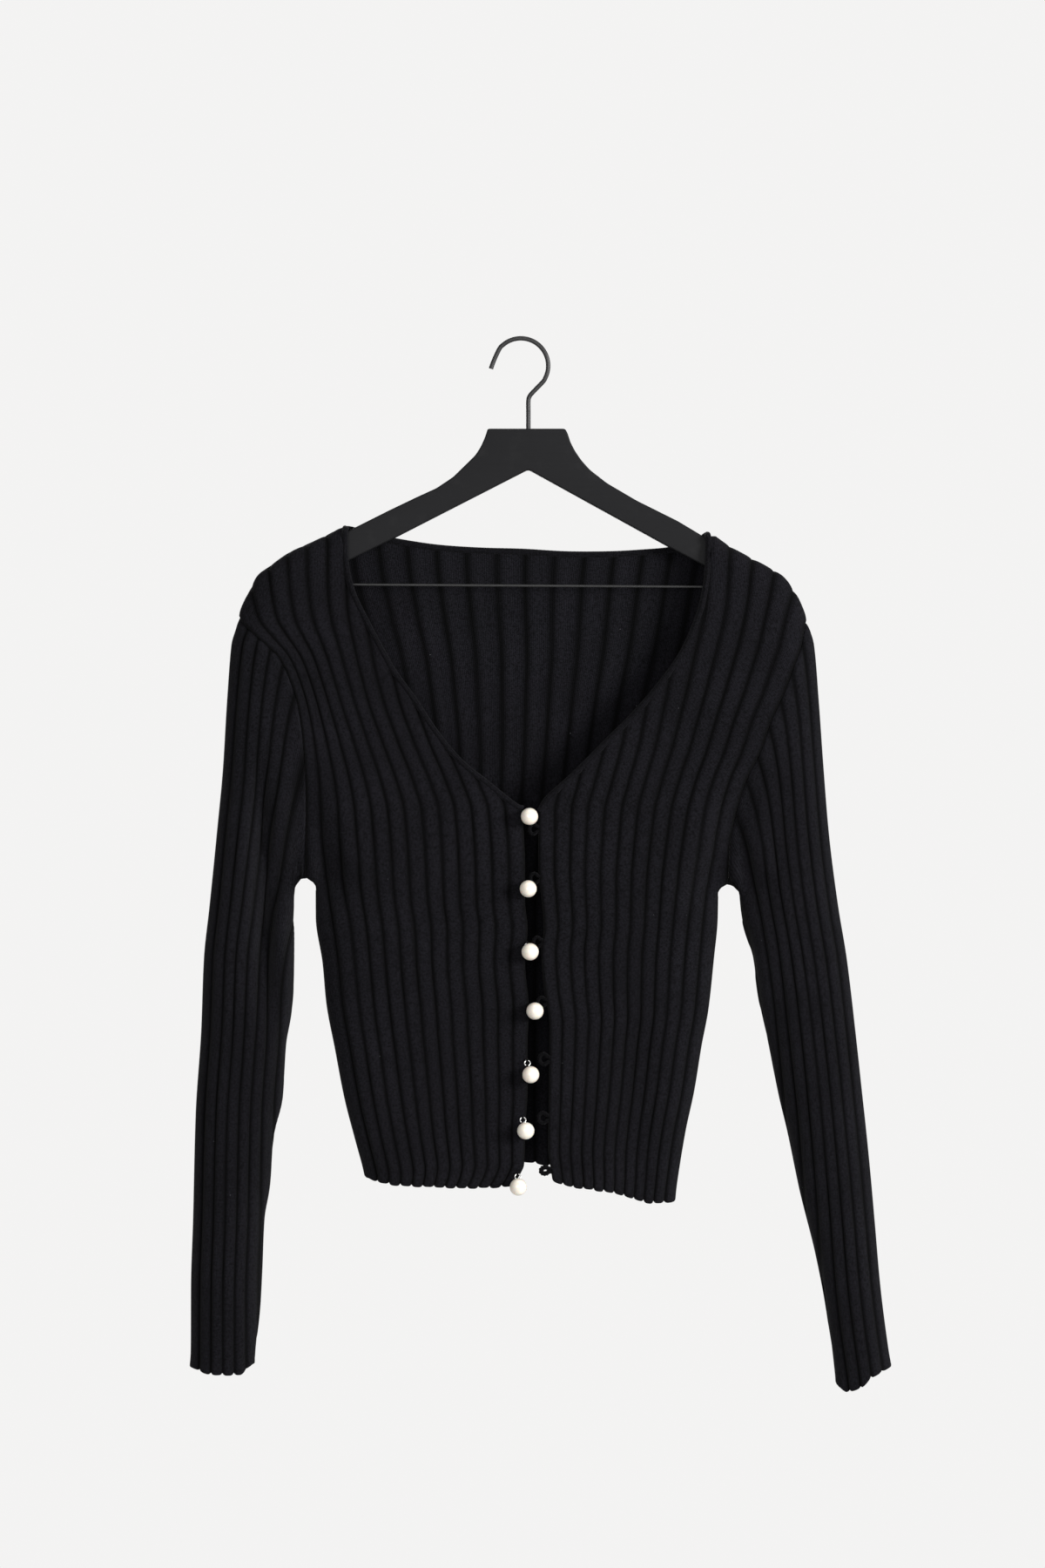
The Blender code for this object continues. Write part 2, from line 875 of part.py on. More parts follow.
def seam_loop(side):
    """(turn, base point, normal) round the armhole, level with the panels' rows."""
    underarm = UNDERARM_Z[side]
    levels = row_heights(TIP_Z[side], underarm, -700)[:ROWS_TO_UNDERARM]
    sign = sign_of(side)
    loop = []
    for face, order in ((-1, range(len(levels))), (1, range(len(levels) - 2, 0, -1))):
        for row in order:
            z = levels[row]
            turn = seam_share(side, z) if face < 0 else 2 - seam_share(side, z)
            slope = (armhole_out(side, z + 0.5) - armhole_out(side, z - 0.5)) if row else 1
            length = math.hypot(slope, 1)
            out = armhole_out(side, z) + ARMHOLE_GAP / length
            z -= ARMHOLE_GAP * slope / length if row < len(levels) - 1 else 0
            out = min(out, outline_out(side, z) - 0.05)
            if row == 0:
                base = Vector((sign * outline_out(side, z), 0, z))
                normal = fold_normal(outline_out, side, z)
            elif row == len(levels) - 1:
                base = Vector((sign * out, 0, underarm))
                normal = Vector((0, 0, -1))
            else:

                def point_of(share, height, face=face, out=out):
                    at = out + 20 * share
                    depth = half_depth(side, "sleeve", at, height)
                    return Vector((sign * at, face * depth, height))

                base = point_of(0, z)
                normal = normal_at(point_of, 0, z, face)
            loop.append((turn, base, normal))
    return loop


SLEEVE_RINGS = (0.012, 0.035, 0.08, 0.14, 0.21, 0.29, 0.38, 0.48, 0.58, 0.68, 0.79, 0.9, 1.0)


def make_sleeve(side, material, collection):
    bm = bmesh.new()
    loop = seam_loop(side)
    outer = [[(turn, bm.verts.new(base + normal * WALL_GROOVE)) for turn, base, normal in loop]]
    inner = [[(turn, bm.verts.new(base)) for turn, base, _ in loop]]
    for fraction in SLEEVE_RINGS:
        outer_ring, inner_ring = [], []
        for position, height, in_inner in rib_columns(SLEEVE_RIBS)[:-1]:
            turn = 2 * position
            face = -1 if turn <= 1 else 1
            share = turn if turn <= 1 else 2 - turn
            cuff = read(CUFF[side], "z", share, by="share")
            z = blend(seam_z(side, share), cuff, fraction)

            def point_of(at, level, face=face):
                return sleeve_point(side, face, at, level)

            base = point_of(share, z)
            if share == 0:
                normal = fold_normal(outline_out, side, z)
            elif share == 1:
                normal = fold_normal(sleeve_inner_out, side, z, inwards=True)
            else:
                normal = normal_at(point_of, share, z, face)
            tip = base + normal * (WALL_GROOVE + RIB_RISE * height)
            if fraction == SLEEVE_RINGS[-1]:
                tip.z -= HEM_BUMP * height
            outer_ring.append((turn, bm.verts.new(tip)))
            if in_inner:
                inner_ring.append((turn, bm.verts.new(base)))
        outer.append(outer_ring)
        inner.append(inner_ring)
    closed = [[ring + [(2 + ring[0][0], ring[0][1])] for ring in rings] for rings in (outer, inner)]
    for rings in closed:
        zip_faces(bm, rings[0], rings[1])
        rows_of_faces(bm, rings[1:])
    zip_faces(bm, closed[0][0], closed[1][0])
    zip_faces(bm, closed[0][-1], closed[1][-1])
    return finish(bm, f"sleeve_{side}", material, collection)


# ---- Pieces from curves and primitives ------------------------------------------------


def make_wire(name, points, diameter, material, collection, cyclic=False, sides=2):
    """A round wire or roll through points given in millimetres."""
    curve = bpy.data.curves.new(name, "CURVE")
    curve.dimensions = "3D"
    curve.bevel_depth = diameter / 2 * MM
    curve.bevel_resolution = sides
    curve.use_fill_caps = not cyclic
    curve.twist_mode = "MINIMUM"
    spline = curve.splines.new("POLY")
    spline.points.add(len(points) - 1)
    for point, place in zip(spline.points, points):
        point.co = (place[0] * MM, place[1] * MM, place[2] * MM, 1)
    spline.use_cyclic_u = cyclic
    spline.use_smooth = True
    obj = bpy.data.objects.new(name, curve)
    collection.objects.link(obj)
    curve.materials.append(material)
    return obj


def make_back_binding(top_edge, material, collection):
    """Over one arm of the hanger, round the back of the neck, and over the other arm."""
    outs = {side: front_boundary(side)[1][0][0] for side in ("right", "left")}
    neck = [(place, normal) for place, normal in top_edge if -outs["right"] < place.x < outs["left"]]
    path = binding_path(neck, lambda place: Vector((0, 0, 1)))
    path = [place for place in path if place.y > 3]
    path = shoulder_turn(path[0], neck_corner("right"), 1)[::-1] + path
    path += shoulder_turn(path[-1], neck_corner("left"), 1)
    make_wire("neck_binding_back", path, BINDING_DIAMETER, material, collection)


def front_face_y(z):
    """The front of the crowns beside the opening."""
    return -(read(DEPTH, "half", z) + SEAM_GAP / 2 + WALL_CROWN)


def make_pearl(number, x, z, material, collection):
    y = front_face_y(z) - SEAM_GAP - PEARL_DIAMETER / 2
    bm = bmesh.new()
    bmesh.ops.create_uvsphere(bm, u_segments=12, v_segments=8, radius=PEARL_DIAMETER / 2)
    bmesh.ops.translate(bm, verts=bm.verts, vec=(x, y, z))
    return finish(bm, f"pearl_{number}", material, collection, smooth=True)


def ring_points(centre, across, up, count):
    centre, across, up = Vector(centre), Vector(across), Vector(up)
    turns = [2 * math.pi * i / count for i in range(count)]
    return [centre + across * math.cos(turn) + up * math.sin(turn) for turn in turns]


def make_eye(number, x, z, material, collection):
    """The wire eye behind a pearl: its lower side at the pearl, its upper side at the cloth."""
    lean = math.radians(45)
    up = (0, EYE_RADIUS * math.sin(lean), EYE_RADIUS * math.cos(lean))
    edge = -read(OPENING_EDGE["right"], "out", z + EYE_RISE)
    shift = min(max(edge - EYE_INSET - x, -EYE_REACH), EYE_REACH)
    rise = math.sqrt(EYE_RISE**2 - shift**2)
    centre = (x + shift, front_face_y(z) - 2.6, z + rise)
    points = ring_points(centre, (EYE_RADIUS, 0, 0), up, 10)
    return make_wire(f"pearl_eye_{number}", points, 2 * EYE_WIRE, material, collection, True, 1)


def make_loop(number, z, material, collection):
    """A yarn loop that stands out of the left front's edge, behind the pearl."""
    edge = read(OPENING_EDGE["left"], "out", z) - SEAM_GAP - LOOP_YARN
    y = -(read(DEPTH, "half", z) + SEAM_GAP / 2 + WALL_GROOVE / 2)
    centre = (edge - LOOP_HALF_WIDTH, y, z)
    points = ring_points(centre, (LOOP_HALF_WIDTH, 0, 0), (0, 0, LOOP_HALF_HEIGHT), 10)
    return make_wire(f"loop_{number}", points, 2 * LOOP_YARN, material, collection, True, 1)


def make_hanger(material, collection):
    curve = bpy.data.curves.new("hanger_body", "CURVE")
    curve.dimensions = "2D"
    curve.fill_mode = "BOTH"
    curve.extrude = (HANGER_THICKNESS / 2 - HANGER_EDGE) * MM
    curve.bevel_depth = HANGER_EDGE * MM
    curve.bevel_resolution = 1
    curve.offset = -HANGER_EDGE * MM
    spline = curve.splines.new("POLY")
    outline = list(zip(HANGER_OUTLINE["x"], HANGER_OUTLINE["z"]))
    spline.points.add(len(outline) - 1)
    for point, (x, z) in zip(spline.points, outline):
        point.co = (x * MM, z * MM, 0, 1)
    spline.use_cyclic_u = True
    obj = bpy.data.objects.new("hanger_body", curve)
    obj.rotation_euler = (math.radians(90), 0, 0)
    collection.objects.link(obj)
    curve.materials.append(material)
    return obj


def make_hook(material, collection):
    points = []
    for step in range(21):
        angle = math.radians(blend(HOOK_STARTS, HOOK_ENDS, step / 20))
        x = HOOK_RADIUS * math.cos(angle)
        points.append((x, 0, HOOK_CENTRE_Z + HOOK_RADIUS * math.sin(angle)))
    points += [
        (STEM_X + 3.2, 0, STEM_BEND_Z + 5.6),
        (STEM_X + 0.9, 0, STEM_BEND_Z + 2.6),
        (STEM_X, 0, STEM_BEND_Z - 1),
        (STEM_X, 0, STEM_BOTTOM_Z),
    ]
    return make_wire("hook", points, HOOK_WIRE, material, collection)


def make_bar(material, collection):
    points = [(x, 0, z) for x, z in zip(BAR["x"], BAR["z"])]
    return make_wire("trouser_bar", points, BAR_WIRE, material, collection)


# ---- The whole ------------------------------------------------------------------------


def new_material(name, colour, roughness, metallic=0.0):
    material = bpy.data.materials.new(name)
    material.use_nodes = True
    shader = material.node_tree.nodes["Principled BSDF"]
    shader.inputs["Base Color"].default_value = (*colour, 1)
    shader.inputs["Roughness"].default_value = roughness
    shader.inputs["Metallic"].default_value = metallic
    return material


def main():
    for obj in list(bpy.data.objects):
        bpy.data.objects.remove(obj, do_unlink=True)
    collection = bpy.data.collections.new("cardigan")
    bpy.context.scene.collection.children.link(collection)

    knit = new_material("black_rib_knit", (0.012, 0.012, 0.014), 0.85)
    yarn = new_material("black_yarn", (0.010, 0.010, 0.011), 0.8)
    pearl = new_material("cream_pearl", (0.86, 0.82, 0.75), 0.2)
    silver = new_material("silver_wire", (0.75, 0.75, 0.74), 0.25, 1.0)
    wood = new_material("black_wood", (0.02, 0.02, 0.02), 0.45)
    steel = new_material("black_steel", (0.05, 0.05, 0.05), 0.35, 1.0)

    for side in ("right", "left"):
        make_front(side, knit, collection)
        make_sleeve(side, knit, collection)
    make_back_binding(make_back(knit, collection), knit, collection)

    for number, (x, z, loop_z) in enumerate(zip(*PEARLS.values()), 1):
        make_pearl(number, x, z, pearl, collection)
        make_eye(number, x, z, silver, collection)
        make_loop(number, loop_z, yarn, collection)

    make_hanger(wood, collection)
    make_hook(steel, collection)
    make_bar(steel, collection)


main()
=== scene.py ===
import math

import bmesh
import bpy
import numpy as np
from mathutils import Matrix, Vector


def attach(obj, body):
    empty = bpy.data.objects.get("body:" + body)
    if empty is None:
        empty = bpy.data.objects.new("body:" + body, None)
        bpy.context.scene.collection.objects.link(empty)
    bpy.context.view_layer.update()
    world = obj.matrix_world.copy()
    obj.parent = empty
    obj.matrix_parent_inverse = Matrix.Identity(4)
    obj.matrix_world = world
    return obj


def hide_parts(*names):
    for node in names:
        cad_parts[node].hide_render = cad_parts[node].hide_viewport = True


# A black ribbed cardigan on its hanger, dressed for a close look.
# Sizes in the dictionaries are millimetres; mm turns them into metres.
# "out" is the distance from the hook's vertical line towards a sleeve; the wearer's right is at -X.

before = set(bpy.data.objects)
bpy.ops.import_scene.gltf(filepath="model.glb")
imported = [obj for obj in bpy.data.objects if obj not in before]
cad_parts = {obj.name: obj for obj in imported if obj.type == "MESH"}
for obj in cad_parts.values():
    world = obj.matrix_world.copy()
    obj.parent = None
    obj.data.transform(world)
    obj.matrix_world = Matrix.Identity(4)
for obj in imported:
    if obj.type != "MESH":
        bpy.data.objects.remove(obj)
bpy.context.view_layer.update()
bpy.ops.object.select_all(action="DESELECT")
mm = 0.001
print("frame loaded")


def rows(names, *lines):
    return {name: np.array([line[i] for line in lines], float) for i, name in enumerate(names.split())}


# The garment's form, as its maker would draft it.

form = {
    "groove": 1.4,  # wall in a groove
    "rise": 1.3,  # how far a crown stands above it
    "gap": 0.3,  # between the fronts and the back
    "underarm": {"right": -433.0, "left": -438.0},
    "tip": {"right": -223.0, "left": -228.0},  # the top of the sleeve seam
    "tipLean": 0.3,
    "arch": 12.0,  # height of the round above the gap between body and sleeve
    "bodyRound": 40.0,
    "sleeveRoundOut": 26.0,
    "sleeveRoundIn": 34.0,
    "sharpensOver": 30.0,
    "pinchHeight": 120.0,  # the cloth is flattened to the seam this far above the underarm
    "pinchReach": 15.0,
    "flattensOver": 34.0,
    "backMix": 60.0,  # the back's two halves run into each other over this width
}
depthRows = rows(
    "z half",
    (-145, 9.5), (-215, 10.5), (-290, 13.5), (-360, 15.5), (-440, 16.0), (-560, 16.5), (-700, 17.5),
    (-850, 15.0),
)
outerLine = {
    "right": rows(
        "z out",
        (-149.2, 142), (-154.5, 152.5), (-159.6, 163), (-164.5, 173.5), (-171, 187.5), (-182, 203),
        (-189, 212), (-203, 219.5), (-217, 226), (-231, 230), (-245, 234), (-287, 237), (-343, 240),
        (-399, 245.5), (-455, 251.5), (-497, 256), (-553, 258), (-623, 262.5), (-707, 264.5),
        (-763, 266.5), (-850, 267),
    ),
    "left": rows(
        "z out",
        (-151, 146), (-154.6, 152.5), (-158.6, 158.5), (-163.2, 165), (-170, 176.5), (-181, 197.5),
        (-189, 210.5), (-203, 221.5), (-217, 228), (-231, 233), (-245, 237), (-287, 240.5),
        (-343, 244.5), (-399, 249), (-455, 256), (-497, 263), (-553, 270), (-623, 277.5), (-707, 285.5),
        (-763, 290.5), (-850, 302),
    ),
}
frontNeck = {
    "right": rows(
        "z out",
        (-375, -3), (-372, 4), (-353, 28), (-337, 47.5), (-313.5, 67), (-290, 82.5), (-262.5, 102),
        (-225.5, 122), (-201.5, 133.5), (-178.5, 138.5), (-160, 139.5),
    ),
    "left": rows(
        "z out",
        (-378, 13), (-366, 21), (-348.5, 40.5), (-319, 70), (-299.5, 89.5), (-274.5, 111), (-248.5, 129),
        (-219, 141.5), (-197.5, 146.5), (-180, 148.2), (-164, 148.8),
    ),
}
backNeck = rows(
    "x z",
    (-140, -151), (-117.5, -155.5), (-101, -159), (-68.5, -164), (-33.5, -166.5), (1.5, -167.5),
    (36.5, -169.5), (71.5, -169.5), (99.5, -168), (120.5, -166), (141.5, -161), (149, -156),
)
armhole = {
    "right": rows(
        "z out",
        (-147, 234), (-182, 233), (-223, 226), (-232, 219), (-241.5, 208.5), (-255, 194.5), (-272.5, 185.5),
        (-295.5, 178.5), (-325.5, 174.5), (-364, 172.5), (-399, 172.5), (-433, 173.5),
    ),
    "left": rows(
        "z out",
        (-147, 243), (-182, 240), (-228, 228.5), (-246.5, 225), (-263, 219), (-283.5, 211.5), (-305, 201.5),
        (-330.5, 192.5), (-356.5, 180), (-383.5, 172), (-407.5, 168), (-438, 167),
    ),
}
# Down here the last rib follows the side seam.
lowSide = {
    "right": ((-501, 158.5), (-533, 155.5), (-570, 148.5), (-609, 141), (-640, 133), (-672, 124)),
    "left": (
        (-497, 154.5), (-538, 150), (-567, 144.5), (-603.5, 138.5), (-636, 131.5), (-672, 125.5),
        (-693, 122.5),
    ),
}
ribGuide = {
    "right": rows(
        "z out",
        (-147, 234), (-182, 233), (-217, 226), (-252, 212), (-287, 199), (-322, 187), (-357, 178),
        (-399, 172), (-440, 168), (-470, 163), *lowSide["right"],
    ),
    "left": rows(
        "z out",
        (-147, 243), (-182, 240), (-217, 234), (-252, 222), (-287, 207), (-322, 193), (-357, 180),
        (-399, 169.4), (-440, 161.5), (-470, 157), *lowSide["left"],
    ),
}
sideSeam = {
    "right": rows("z out", (-433, 164), (-464, 164), *lowSide["right"]),
    "left": rows("z out", (-438, 158), (-466, 157.5), *lowSide["left"]),
}
sleeveInner = {
    "right": rows(
        "z out",
        (-433, 185), (-523, 185), (-539, 186.5), (-567, 191.5), (-609, 194), (-636, 200), (-679, 204),
        (-707, 209), (-749, 211), (-777, 212.5), (-822, 217.5),
    ),
    "left": rows(
        "z out",
        (-438, 177), (-469, 181), (-497, 189.5), (-525, 193), (-567, 202), (-609, 210.5), (-636, 217),
        (-683, 227), (-735, 240), (-777, 248), (-840, 256),
    ),
}
openingEdge = {
    "right": rows(
        "z out",
        (-147, 28), (-182, 31.5), (-217, 38), (-252, 40), (-287, 36), (-322, 24), (-357, 7), (-378, -1),
        (-427, -3.5), (-452, -3.5), (-472, -5.5), (-501, -3.5), (-538, -6.5), (-566, -5.5), (-601, -5.5),
        (-636, -3.5), (-662, -2.8), (-672, 1.5), (-681, 8),
    ),
    "left": rows(
        "z out",
        (-147, 20), (-182, 22), (-217, 26), (-252, 25), (-287, 27), (-322, 26), (-357, 19), (-378, 14),
        (-427, 14.5), (-452, 17), (-472, 18.5), (-491, 16.5), (-523, 19), (-550, 23), (-609, 22.5),
        (-648, 22), (-676, 25.5),
    ),
}
frontHem = {
    "right": rows("share z", (0, -678), (0.2, -680), (0.6, -679), (0.9, -676), (1, -671)),
    "left": rows("share z", (0, -674), (0.15, -679), (0.45, -683), (0.85, -692), (1, -691)),
}
backHem = rows("share z", (0, -671), (0.2, -670), (0.5, -661), (0.8, -681), (1, -691))
cuffLine = {
    "right": rows("share z", (0, -825), (0.4, -830), (0.8, -830), (1, -822)),
    "left": rows("share z", (0, -825), (0.35, -832), (0.6, -841), (0.85, -844), (1, -838)),
}
backSpread = rows(
    "z spread",
    (-150, 1.14), (-182, 1.1), (-220, 1.06), (-320, 1.02), (-440, 1.0), (-700, 1.0),
)

# Creases: the side and the piece, then places as z, out, width and rise.
creases = (
    ("right", "sleeve", (-330, 211, 9, 0), (-385, 208, 10, -10), (-440, 206, 10.5, -14.5),
     (-500, 206, 10, -9), (-570, 206, 10, 0)),
    ("right", "sleeve", (-440, 190, 7, 0), (-480, 190, 7.5, 9), (-530, 191, 7.5, 5), (-590, 197, 8, 0)),
    ("right", "body", (-470, 120, 22, 0), (-560, 110, 22, -2), (-672, 95, 20, -1)),
    ("left", "sleeve", (-480, 204, 9, 0), (-560, 208, 9, -3.5), (-640, 224, 9, 0)),
    ("left", "sleeve", (-380, 206, 10, 0), (-430, 203, 10, -2.5), (-480, 200, 9, 0)),
    ("left", "body", (-520, 92, 18, 0), (-610, 90, 20, -5), (-694, 92, 20, -4)),
)
# Where the cloth of body and sleeve puffs out beside the underarm seam.
puffs = (
    ("right", "both", (-382, 169, 4.5, 0), (-404, 168, 6, 3), (-422, 167.5, 7, 4.5), (-438, 167, 6, 0)),
    ("left", "both", (-392, 174, 4.5, 0), (-412, 173.5, 5.5, 2.6), (-428, 173, 6.5, 4), (-444, 172.5, 6, 0)),
)


def curveOf(table, column, by="z"):
    # A smooth curve through the rows that never swings past them.
    keys, values = table[by], table[column]
    if keys[0] > keys[-1]:
        keys, values = keys[::-1], values[::-1]
    slopes = np.diff(values) / np.diff(keys)
    tangents = np.concatenate([slopes[:1], np.zeros(len(keys) - 2), slopes[-1:]])
    product = slopes[:-1] * slopes[1:]
    same = product > 0
    tangents[1:-1][same] = 2 * product[same] / (slopes[:-1] + slopes[1:])[same]

    def at(key):
        key = np.clip(np.asarray(key, float), keys[0], keys[-1])
        i = np.clip(np.searchsorted(keys, key, side="right") - 1, 0, len(keys) - 2)
        step = keys[i + 1] - keys[i]
        t = (key - keys[i]) / step
        low = values[i] * (1 + 2 * t) * (1 - t) ** 2 + step * tangents[i] * t * (1 - t) ** 2
        high = values[i + 1] * t * t * (3 - 2 * t) - step * tangents[i + 1] * t * t * (1 - t)
        return low + high

    return at


def movedLine(outs, heights, distance):
    # The same line, moved sideways off itself.
    outs, heights = np.asarray(outs, float), np.asarray(heights, float)
    before = np.maximum(np.arange(len(outs)) - 1, 0)
    after = np.minimum(np.arange(len(outs)) + 1, len(outs) - 1)
    dx, dz = outs[after] - outs[before], heights[after] - heights[before]
    length = np.hypot(dx, dz)
    return outs + dz / length * distance, heights - dx / length * distance


def blend(a, b, t):
    return a + (b - a) * t


def rounded(t):
    t = np.clip(t, 0, 1)
    return np.sqrt(1 - (1 - t) ** 2)


def eased(t):
    t = np.clip(t, 0, 1)
    return t * t * (3 - 2 * t)


def foldShape(t, sharp):
    soft = (1 - np.cos(np.pi * np.clip(t, 0, 1))) / 2
    return blend(soft, rounded(t), np.clip(sharp, 0, 1))


signOf = {"right": -1, "left": 1}
depthAt = curveOf(depthRows, "half")
spreadAt = curveOf(backSpread, "spread")
innerLine, outlineAt, armholeCurve, guideAt, edgeAt, seamCurve, foldCurve = {}, {}, {}, {}, {}, {}, {}
for side in ("right", "left"):
    outs, heights = movedLine(outerLine[side]["out"], outerLine[side]["z"], form["groove"] + form["rise"])
    innerLine[side] = {"out": outs, "z": heights}
    outlineAt[side] = curveOf(innerLine[side], "out")
    armholeCurve[side] = curveOf(armhole[side], "out")
    guideAt[side] = curveOf(ribGuide[side], "out")
    edgeAt[side] = curveOf(openingEdge[side], "out")
    seamCurve[side] = curveOf(sideSeam[side], "out")
    foldCurve[side] = curveOf(sleeveInner[side], "out")


def moundCurves(mounds):
    curves = {}
    for side, piece, *places in mounds:
        table = rows("z out width rise", *places)
        across = [curveOf(table, name) for name in ("out", "width", "rise")]
        curves.setdefault((side, piece), []).append((table["z"].min(), table["z"].max(), *across))
    return curves


def moundHeight(curves, out, z):
    height = np.zeros(np.broadcast(out, z).shape)
    for lowest, highest, outAt, widthAt, riseAt in curves:
        bump = riseAt(z) * np.exp(-(((out - outAt(z)) / widthAt(z)) ** 2))
        height = height + np.where((z >= lowest) & (z <= highest), bump, 0)
    return height


creaseCurves, puffCurves = moundCurves(creases), moundCurves(puffs)


def armholeOut(side, z):
    out = armholeCurve[side](z)
    below = form["tip"][side] - z
    return np.where(below < 0, out, np.minimum(out, outlineAt[side](z) - form["tipLean"] * below))


def archedOut(side, curve, z):
    share = rounded((form["underarm"][side] - z) / form["arch"])
    lower = blend(armholeOut(side, form["underarm"][side]), curve(z), share)
    return np.where(z >= form["underarm"][side], armholeOut(side, z), lower)


def sideOut(side, z):
    return archedOut(side, seamCurve[side], z)


def sleeveInnerOut(side, z):
    return archedOut(side, foldCurve[side], z)


def halfDepth(side, piece, out, z):
    underarm = form["underarm"][side]
    sharp = (underarm - z) / form["sharpensOver"]
    height = np.clip((z - underarm) / form["pinchHeight"], 0, 1)
    inwards = form["bodyRound"] if piece == "body" else form["sleeveRoundIn"]
    fold = seamCurve[side](z) if piece == "body" else foldCurve[side](z)
    seam = blend(fold, armholeOut(side, z), eased((z - underarm) / form["flattensOver"]))
    inside = seam - out if piece == "body" else out - seam
    nearSeam = foldShape(inside / blend(inwards, form["pinchReach"], height), sharp)
    overShoulder = rounded((outlineAt[side](z) - out) / form["sleeveRoundOut"])
    above = overShoulder * (1 - (1 - height**1.5) ** 2 * (1 - nearSeam))
    below = foldShape(inside / inwards, sharp)
    if piece == "sleeve":
        below = overShoulder * below
    crease = moundHeight(creaseCurves.get((side, piece), ()), out, z)
    puff = moundHeight(puffCurves[side, "both"], out, z)
    return np.where(z >= underarm, above, below) * (depthAt(z) + crease) + puff


# Only the outer ribs are drawn to the side seam, and below the underarm only the last of them.
seamPull = {"frontFrom": 0.5, "backFrom": 0.4, "power": 2, "extra": 12, "extraBelow": -400, "extraOver": 25}


def pulled(share, start, z):
    lower = np.clip((seamPull["extraBelow"] - z) / seamPull["extraOver"], 0, 1)
    power = seamPull["power"] + seamPull["extra"] * lower
    return np.maximum((share - start) / (1 - start), 0) ** power


def frontBase(side, share, z):
    edge, limit, guide = edgeAt[side](z), sideOut(side, z), guideAt[side](z)
    out = blend(edge, guide, share) + (limit - guide) * pulled(share, seamPull["frontFrom"], z)
    y = -halfDepth(side, "body", out, z) - form["gap"] / 2
    return np.stack([signOf[side] * out, y, z + 0 * out], -1)


def backDepth(x, z):
    depths = [halfDepth(side, "body", np.maximum(signOf[side] * x, 0), z) for side in ("right", "left")]
    return blend(depths[0], depths[1], np.clip(x / form["backMix"] + 0.5, 0, 1)) + form["gap"] / 2


def backBase(share, z):
    left, right = guideAt["left"](z), -guideAt["right"](z)
    across = 2 * share - 1
    even = spreadAt(z) * across + (1 - spreadAt(z)) * across**3
    x = (left + right) / 2 + even * (left - right) / 2
    x = x + (sideOut("left", z) - left) * pulled(across, seamPull["backFrom"], z)
    x = x - (sideOut("right", z) + right) * pulled(-across, seamPull["backFrom"], z)
    return np.stack([x, backDepth(x, z), z + 0 * x], -1)


# Sleeve ribs lie side by side from the outer fold, lean towards the armhole seam at their
# tops, and run off one by one at the inner fold.
sleeveRibs = {
    "right": {"ribs": 9, "pitch": 8.9, "lean": 2.1, "leanOver": 42.0},
    "left": {"ribs": 10, "pitch": 9.0, "lean": 1.7, "leanOver": 26.0},
    "foldRound": 2.5,
    "bunch": 0.6,  # ribs squeeze to this width at the inner fold
    "opens": (1.4, 0.25),  # relief rises with the room that a rib has
}


def narrowed(low, high, isPast):
    # Halves the way between low and high until it closes on the place where isPast turns true.
    for _ in range(40):
        middle = (high + low) / 2
        past = isPast(middle)
        high, low = np.where(past, middle, high), np.where(past, low, middle)
    return low, high


def ribReach(side, position, lean):
    ribs, soft = sleeveRibs[side], sleeveRibs["foldRound"]
    along = position * (ribs["pitch"] + ribs["lean"] * lean)
    return np.sqrt(along**2 + soft**2) - soft


def bunched(width):
    size = sleeveRibs["bunch"]
    return size * np.logaddexp(0, width / size)


def sleeveTops(side, position):
    def inBody(z):
        return outlineAt[side](z) - ribReach(side, position, 1.0) < armholeOut(side, z)

    full = np.ones(len(position))
    low, _ = narrowed(full * form["underarm"][side], full * form["tip"][side], inBody)
    return np.where(position == 0, form["tip"][side], low)


def sleeveBase(side, face, position, top, z):
    lean = np.exp(-(top - z) / sleeveRibs[side]["leanOver"])
    outer, inner = outlineAt[side](z), sleeveInnerOut(side, z)
    last = outer - ribReach(side, np.full(z.shape, float(sleeveRibs[side]["ribs"])), lean) - inner
    width = bunched(outer - ribReach(side, position, lean) - inner) - bunched(last)
    out = inner + width * (outer - inner) / np.maximum(bunched(outer - inner) - bunched(last), 1e-6)
    return np.stack([signOf[side] * out, face * halfDepth(side, "sleeve", out, z), z + 0 * out], -1)


def sleeveNormals(side, face, out, z):
    step, steepest = 0.5, 1.5
    outer, inner = outlineAt[side](z), sleeveInnerOut(side, z)
    low, high = np.clip(out - step, inner, outer), np.clip(out + step, inner, outer)
    across = halfDepth(side, "sleeve", high, z) - halfDepth(side, "sleeve", low, z)
    across = across / np.maximum(high - low, 1e-3)
    down = halfDepth(side, "sleeve", out, z + step) - halfDepth(side, "sleeve", out, z - step)
    normals = np.stack([-signOf[side] * across, face + 0 * out, -np.clip(down, -steepest, steepest)], -1)
    return normals / np.linalg.norm(normals, axis=-1, keepdims=True)


# Knitting the walls.

